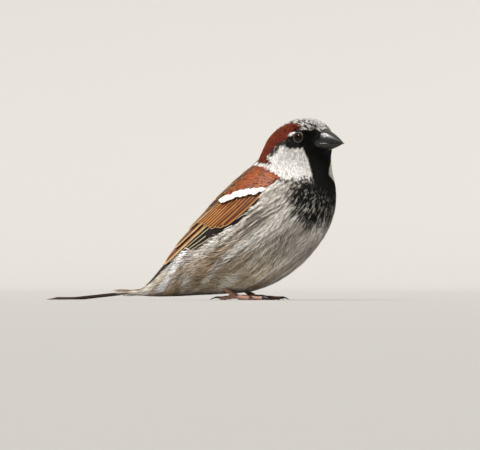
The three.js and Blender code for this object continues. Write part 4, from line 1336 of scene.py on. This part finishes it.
def limb(path, radius, scute=0.0, ring=16):
    """Rings round a path. On the upper side the radius grows by a saw-tooth of scutes; nothing goes below ground."""
    rows = len(path)
    ahead = unit(np.gradient(path, axis=0))
    beside = unit(np.cross(ahead, [0, 0, 1.0]))
    top = np.cross(beside, ahead)
    a = np.linspace(0, 2 * math.pi, ring, endpoint=False)
    run = np.concatenate([[0], np.cumsum(np.linalg.norm(np.diff(path, axis=0), axis=1))])
    tooth = (run / 1.1) % 1
    r = radius[:, None] * (1 + scute * tooth[:, None] * np.clip(np.sin(a), 0, 1) ** 0.5)
    points = path[:, None] + beside[:, None] * (r * np.cos(a))[..., None] + top[:, None] * (r * np.sin(a))[..., None]
    points[..., 2] = np.maximum(points[..., 2], 0)
    joint = np.where(np.sin(a) > 0, np.minimum(tooth, 1 - tooth)[:, None] * 1.1, 0.25)
    vane = np.stack(np.broadcast_arrays(joint, a, run[:, None]), -1)
    flat = np.stack(np.broadcast_arrays(run[:, None] / 25, a / 7), -1)
    return points, vane, flat


def foot_line(heading, reaches, heights):
    ahead = np.array([math.cos(math.radians(heading)), math.sin(math.radians(heading)), 0])
    return [FOOT * [1, 1, 0] + ahead * r + [0, 0, z] for r, z in zip(reaches, heights)]


def make_leg(label, sign):
    """The tarsus, of radius 1.02 mm, and four toes, of 0.95 mm, with three pads: their radius goes by a cosine."""
    t = np.linspace(0, 1, 60)
    parts = [limb(curve([HEEL, FOOT + 0.45 * (HEEL - FOOT), FOOT + [0, 0, 0.2]], 60), 1.02 + 0.35 * smooth(t, 0.88, 1),
                  0.1)]
    for heading, length, _ in TOES.values():
        radius = 0.95 * (1 - 0.2 * t + 0.08 * np.cos(6 * math.pi * t)) * (1 - 0.35 * smooth(t, 0.93, 1))
        line = foot_line(heading, np.array([0, 1, 2, 3]) / 3 * (length + 0.3), [1.6, 1.35, 0.95, 0.85])
        parts.append(limb(curve(line, 60), radius, 0.1))
    points, vane, flat = (np.stack([part[k] for part in parts]) for k in range(3))
    points = points * [1, sign, 1]
    flat = (flat + np.arange(5)[:, None, None, None] * [0, 1]) / [1, 5.2]
    ring_solids(f"foot_{label}", points, SCALES, f"leg_{label}", vane, flat)
    for name, (heading, length, claw) in TOES.items():
        line = foot_line(heading, length + np.array([-0.2, 0.34, 0.67, 1]) * claw, [0.95, 1.2, 0.9, 0.3])
        points, _, flat = limb(curve(line, 24), blend(0.62, 0.14, np.linspace(0, 1, 24) ** 0.8), ring=12)
        ring_solids(f"toe_claw_{label}_{name}", points * [1, sign, 1], CLAW, f"claw_{label}_{name}", bake=flat)


for label, sign in (("left", 1), ("right", -1)):
    make_leg(label, sign)

# %% [markdown]
# ## Floor and backdrop
# A pale sweep of paper, as is used to show museum pieces: flat under the bird and curved up far behind it, so that the
# horizon is only a soft change of tone. The profile of floor, bend and wall is turned round the upright axis, because
# then it looks the same from every side, which a sheet that is bent one way doesn't.

# %% Floor and backdrop
CAMERA_AZIMUTH = math.radians(26)
toward_camera = np.array([math.sin(CAMERA_AZIMUTH), -math.cos(CAMERA_AZIMUTH), 0])
to_right = np.array([math.cos(CAMERA_AZIMUTH), math.sin(CAMERA_AZIMUTH), 0])


def make_sweep():
    """A profile of floor, quarter circle and wall, turned round the upright axis."""
    floor_radius, bend = 4.6, 1.2
    a = np.linspace(0, math.pi / 2, 24)
    away = np.concatenate([[0.0], floor_radius + bend * np.sin(a), [floor_radius + bend]])
    height = np.concatenate([[0.0], bend - bend * np.cos(a), [4.0]])
    u, k = np.meshgrid(np.linspace(0, 2 * math.pi, 97)[:-1], np.arange(len(away)), indexing="ij")
    points = np.stack([away[k] * np.cos(u), away[k] * np.sin(u), height[k]], -1)
    i, j = np.meshgrid(np.arange(96), np.arange(len(away) - 1), indexing="ij")
    size, after = len(away), (i + 1) % 96
    faces = np.stack([i * size + j, i * size + j + 1, after * size + j + 1, after * size + j], -1).reshape(-1, 4)
    mesh = bpy.data.meshes.new("sweep")
    mesh.from_pydata(points.reshape(-1, 3).tolist(), [], faces.tolist())
    mesh.polygons.foreach_set("use_smooth", np.ones(len(faces), bool))
    material, tree, output = new_material("pale_paper")
    place = add(tree, "ShaderNodeTexCoord")
    grain = add(tree, "ShaderNodeTexNoise", values={"Scale": 400.0}, links={"Vector": place.outputs["Object"]})
    bump = add(tree, "ShaderNodeBump", values={"Strength": 0.05, "Distance": 0.0002},
               links={"Height": grain.outputs["Fac"]})
    shader = add(tree, "ShaderNodeBsdfPrincipled", values={"Base Color": rgba("#b4b2ae"), "Roughness": 0.9},
                 links={"Normal": bump.outputs["Normal"]})
    tree.links.new(shader.outputs["BSDF"], output.inputs["Surface"])
    mesh.materials.append(material)
    floor = bpy.data.objects.new("sweep", mesh)
    bpy.context.scene.collection.objects.link(floor)


make_sweep()
print("floor and wall of paper made")

# %% [markdown]
# ## Light
# Large lamps with cloth before them give the soft-edged shadows that show feathers best. A sun lamp with a wide disc
# gives the same light with no lamp standing in view. The key comes from the upper left, a weak fill from the right, and
# an even sky keeps the dark side open.

# %% Lights
def soft_sun(name, azimuth, elevation, strength, spread_degrees, colour="#ffffff"):
    """A wide sun: azimuth 0 shines on the bird's right side, and elevation is above the ground."""
    a, e = math.radians(azimuth), math.radians(elevation)
    lamp = bpy.data.lights.new(name, "SUN")
    lamp.energy, lamp.angle, lamp.color = strength, math.radians(spread_degrees), linear(colour)
    holder = bpy.data.objects.new(name, lamp)
    away = Vector((math.sin(a) * math.cos(e), -math.cos(a) * math.cos(e), math.sin(e)))
    holder.rotation_mode = "QUATERNION"
    holder.rotation_quaternion = away.to_track_quat("Z", "Y")
    bpy.context.scene.collection.objects.link(holder)


soft_sun("key", -20, 54, 4.35, 7, "#fffcf7")
soft_sun("fill", 80, 45, 0.5, 40)
world = bpy.data.worlds.new("even_sky")
bpy.context.scene.world = world
world.use_nodes = True
world.node_tree.nodes["Background"].inputs["Color"].default_value = rgba("#e8ecf2")
world.node_tree.nodes["Background"].inputs["Strength"].default_value = 0.36
bpy.context.scene.view_settings.view_transform = "Standard"
print("lamps:", len(bpy.data.lights))

# %% [markdown]
# ## Camera
# It stands three metres away, as a bird-watcher would, just above the ground, and looks up a little at the bird's right
# side from 26 degrees ahead. From so far away near and far parts keep nearly the same scale. The frame is 210.5 mm wide
# at the bird.

# %% Camera
CAMERA_DISTANCE, FRAME_WIDTH = 3.0, 0.2105
aim = Vector(to_right * 3.5 * MM) + Vector((ORIGIN_X * MM, 0, 32.9 * MM))
camera = bpy.data.objects.new("camera", bpy.data.cameras.new("camera"))
camera.data.sensor_width = 36
camera.data.lens = 36 * CAMERA_DISTANCE / FRAME_WIDTH
camera.data.clip_start, camera.data.clip_end = 0.01, 20
camera.location = Vector((aim.x, aim.y, 0.008)) + Vector(toward_camera) * CAMERA_DISTANCE
camera.rotation_mode = "QUATERNION"
camera.rotation_quaternion = (camera.location - aim).to_track_quat("Z", "Y")
bpy.context.scene.collection.objects.link(camera)
bpy.context.scene.camera = camera
print("lens, mm:", round(camera.data.lens))
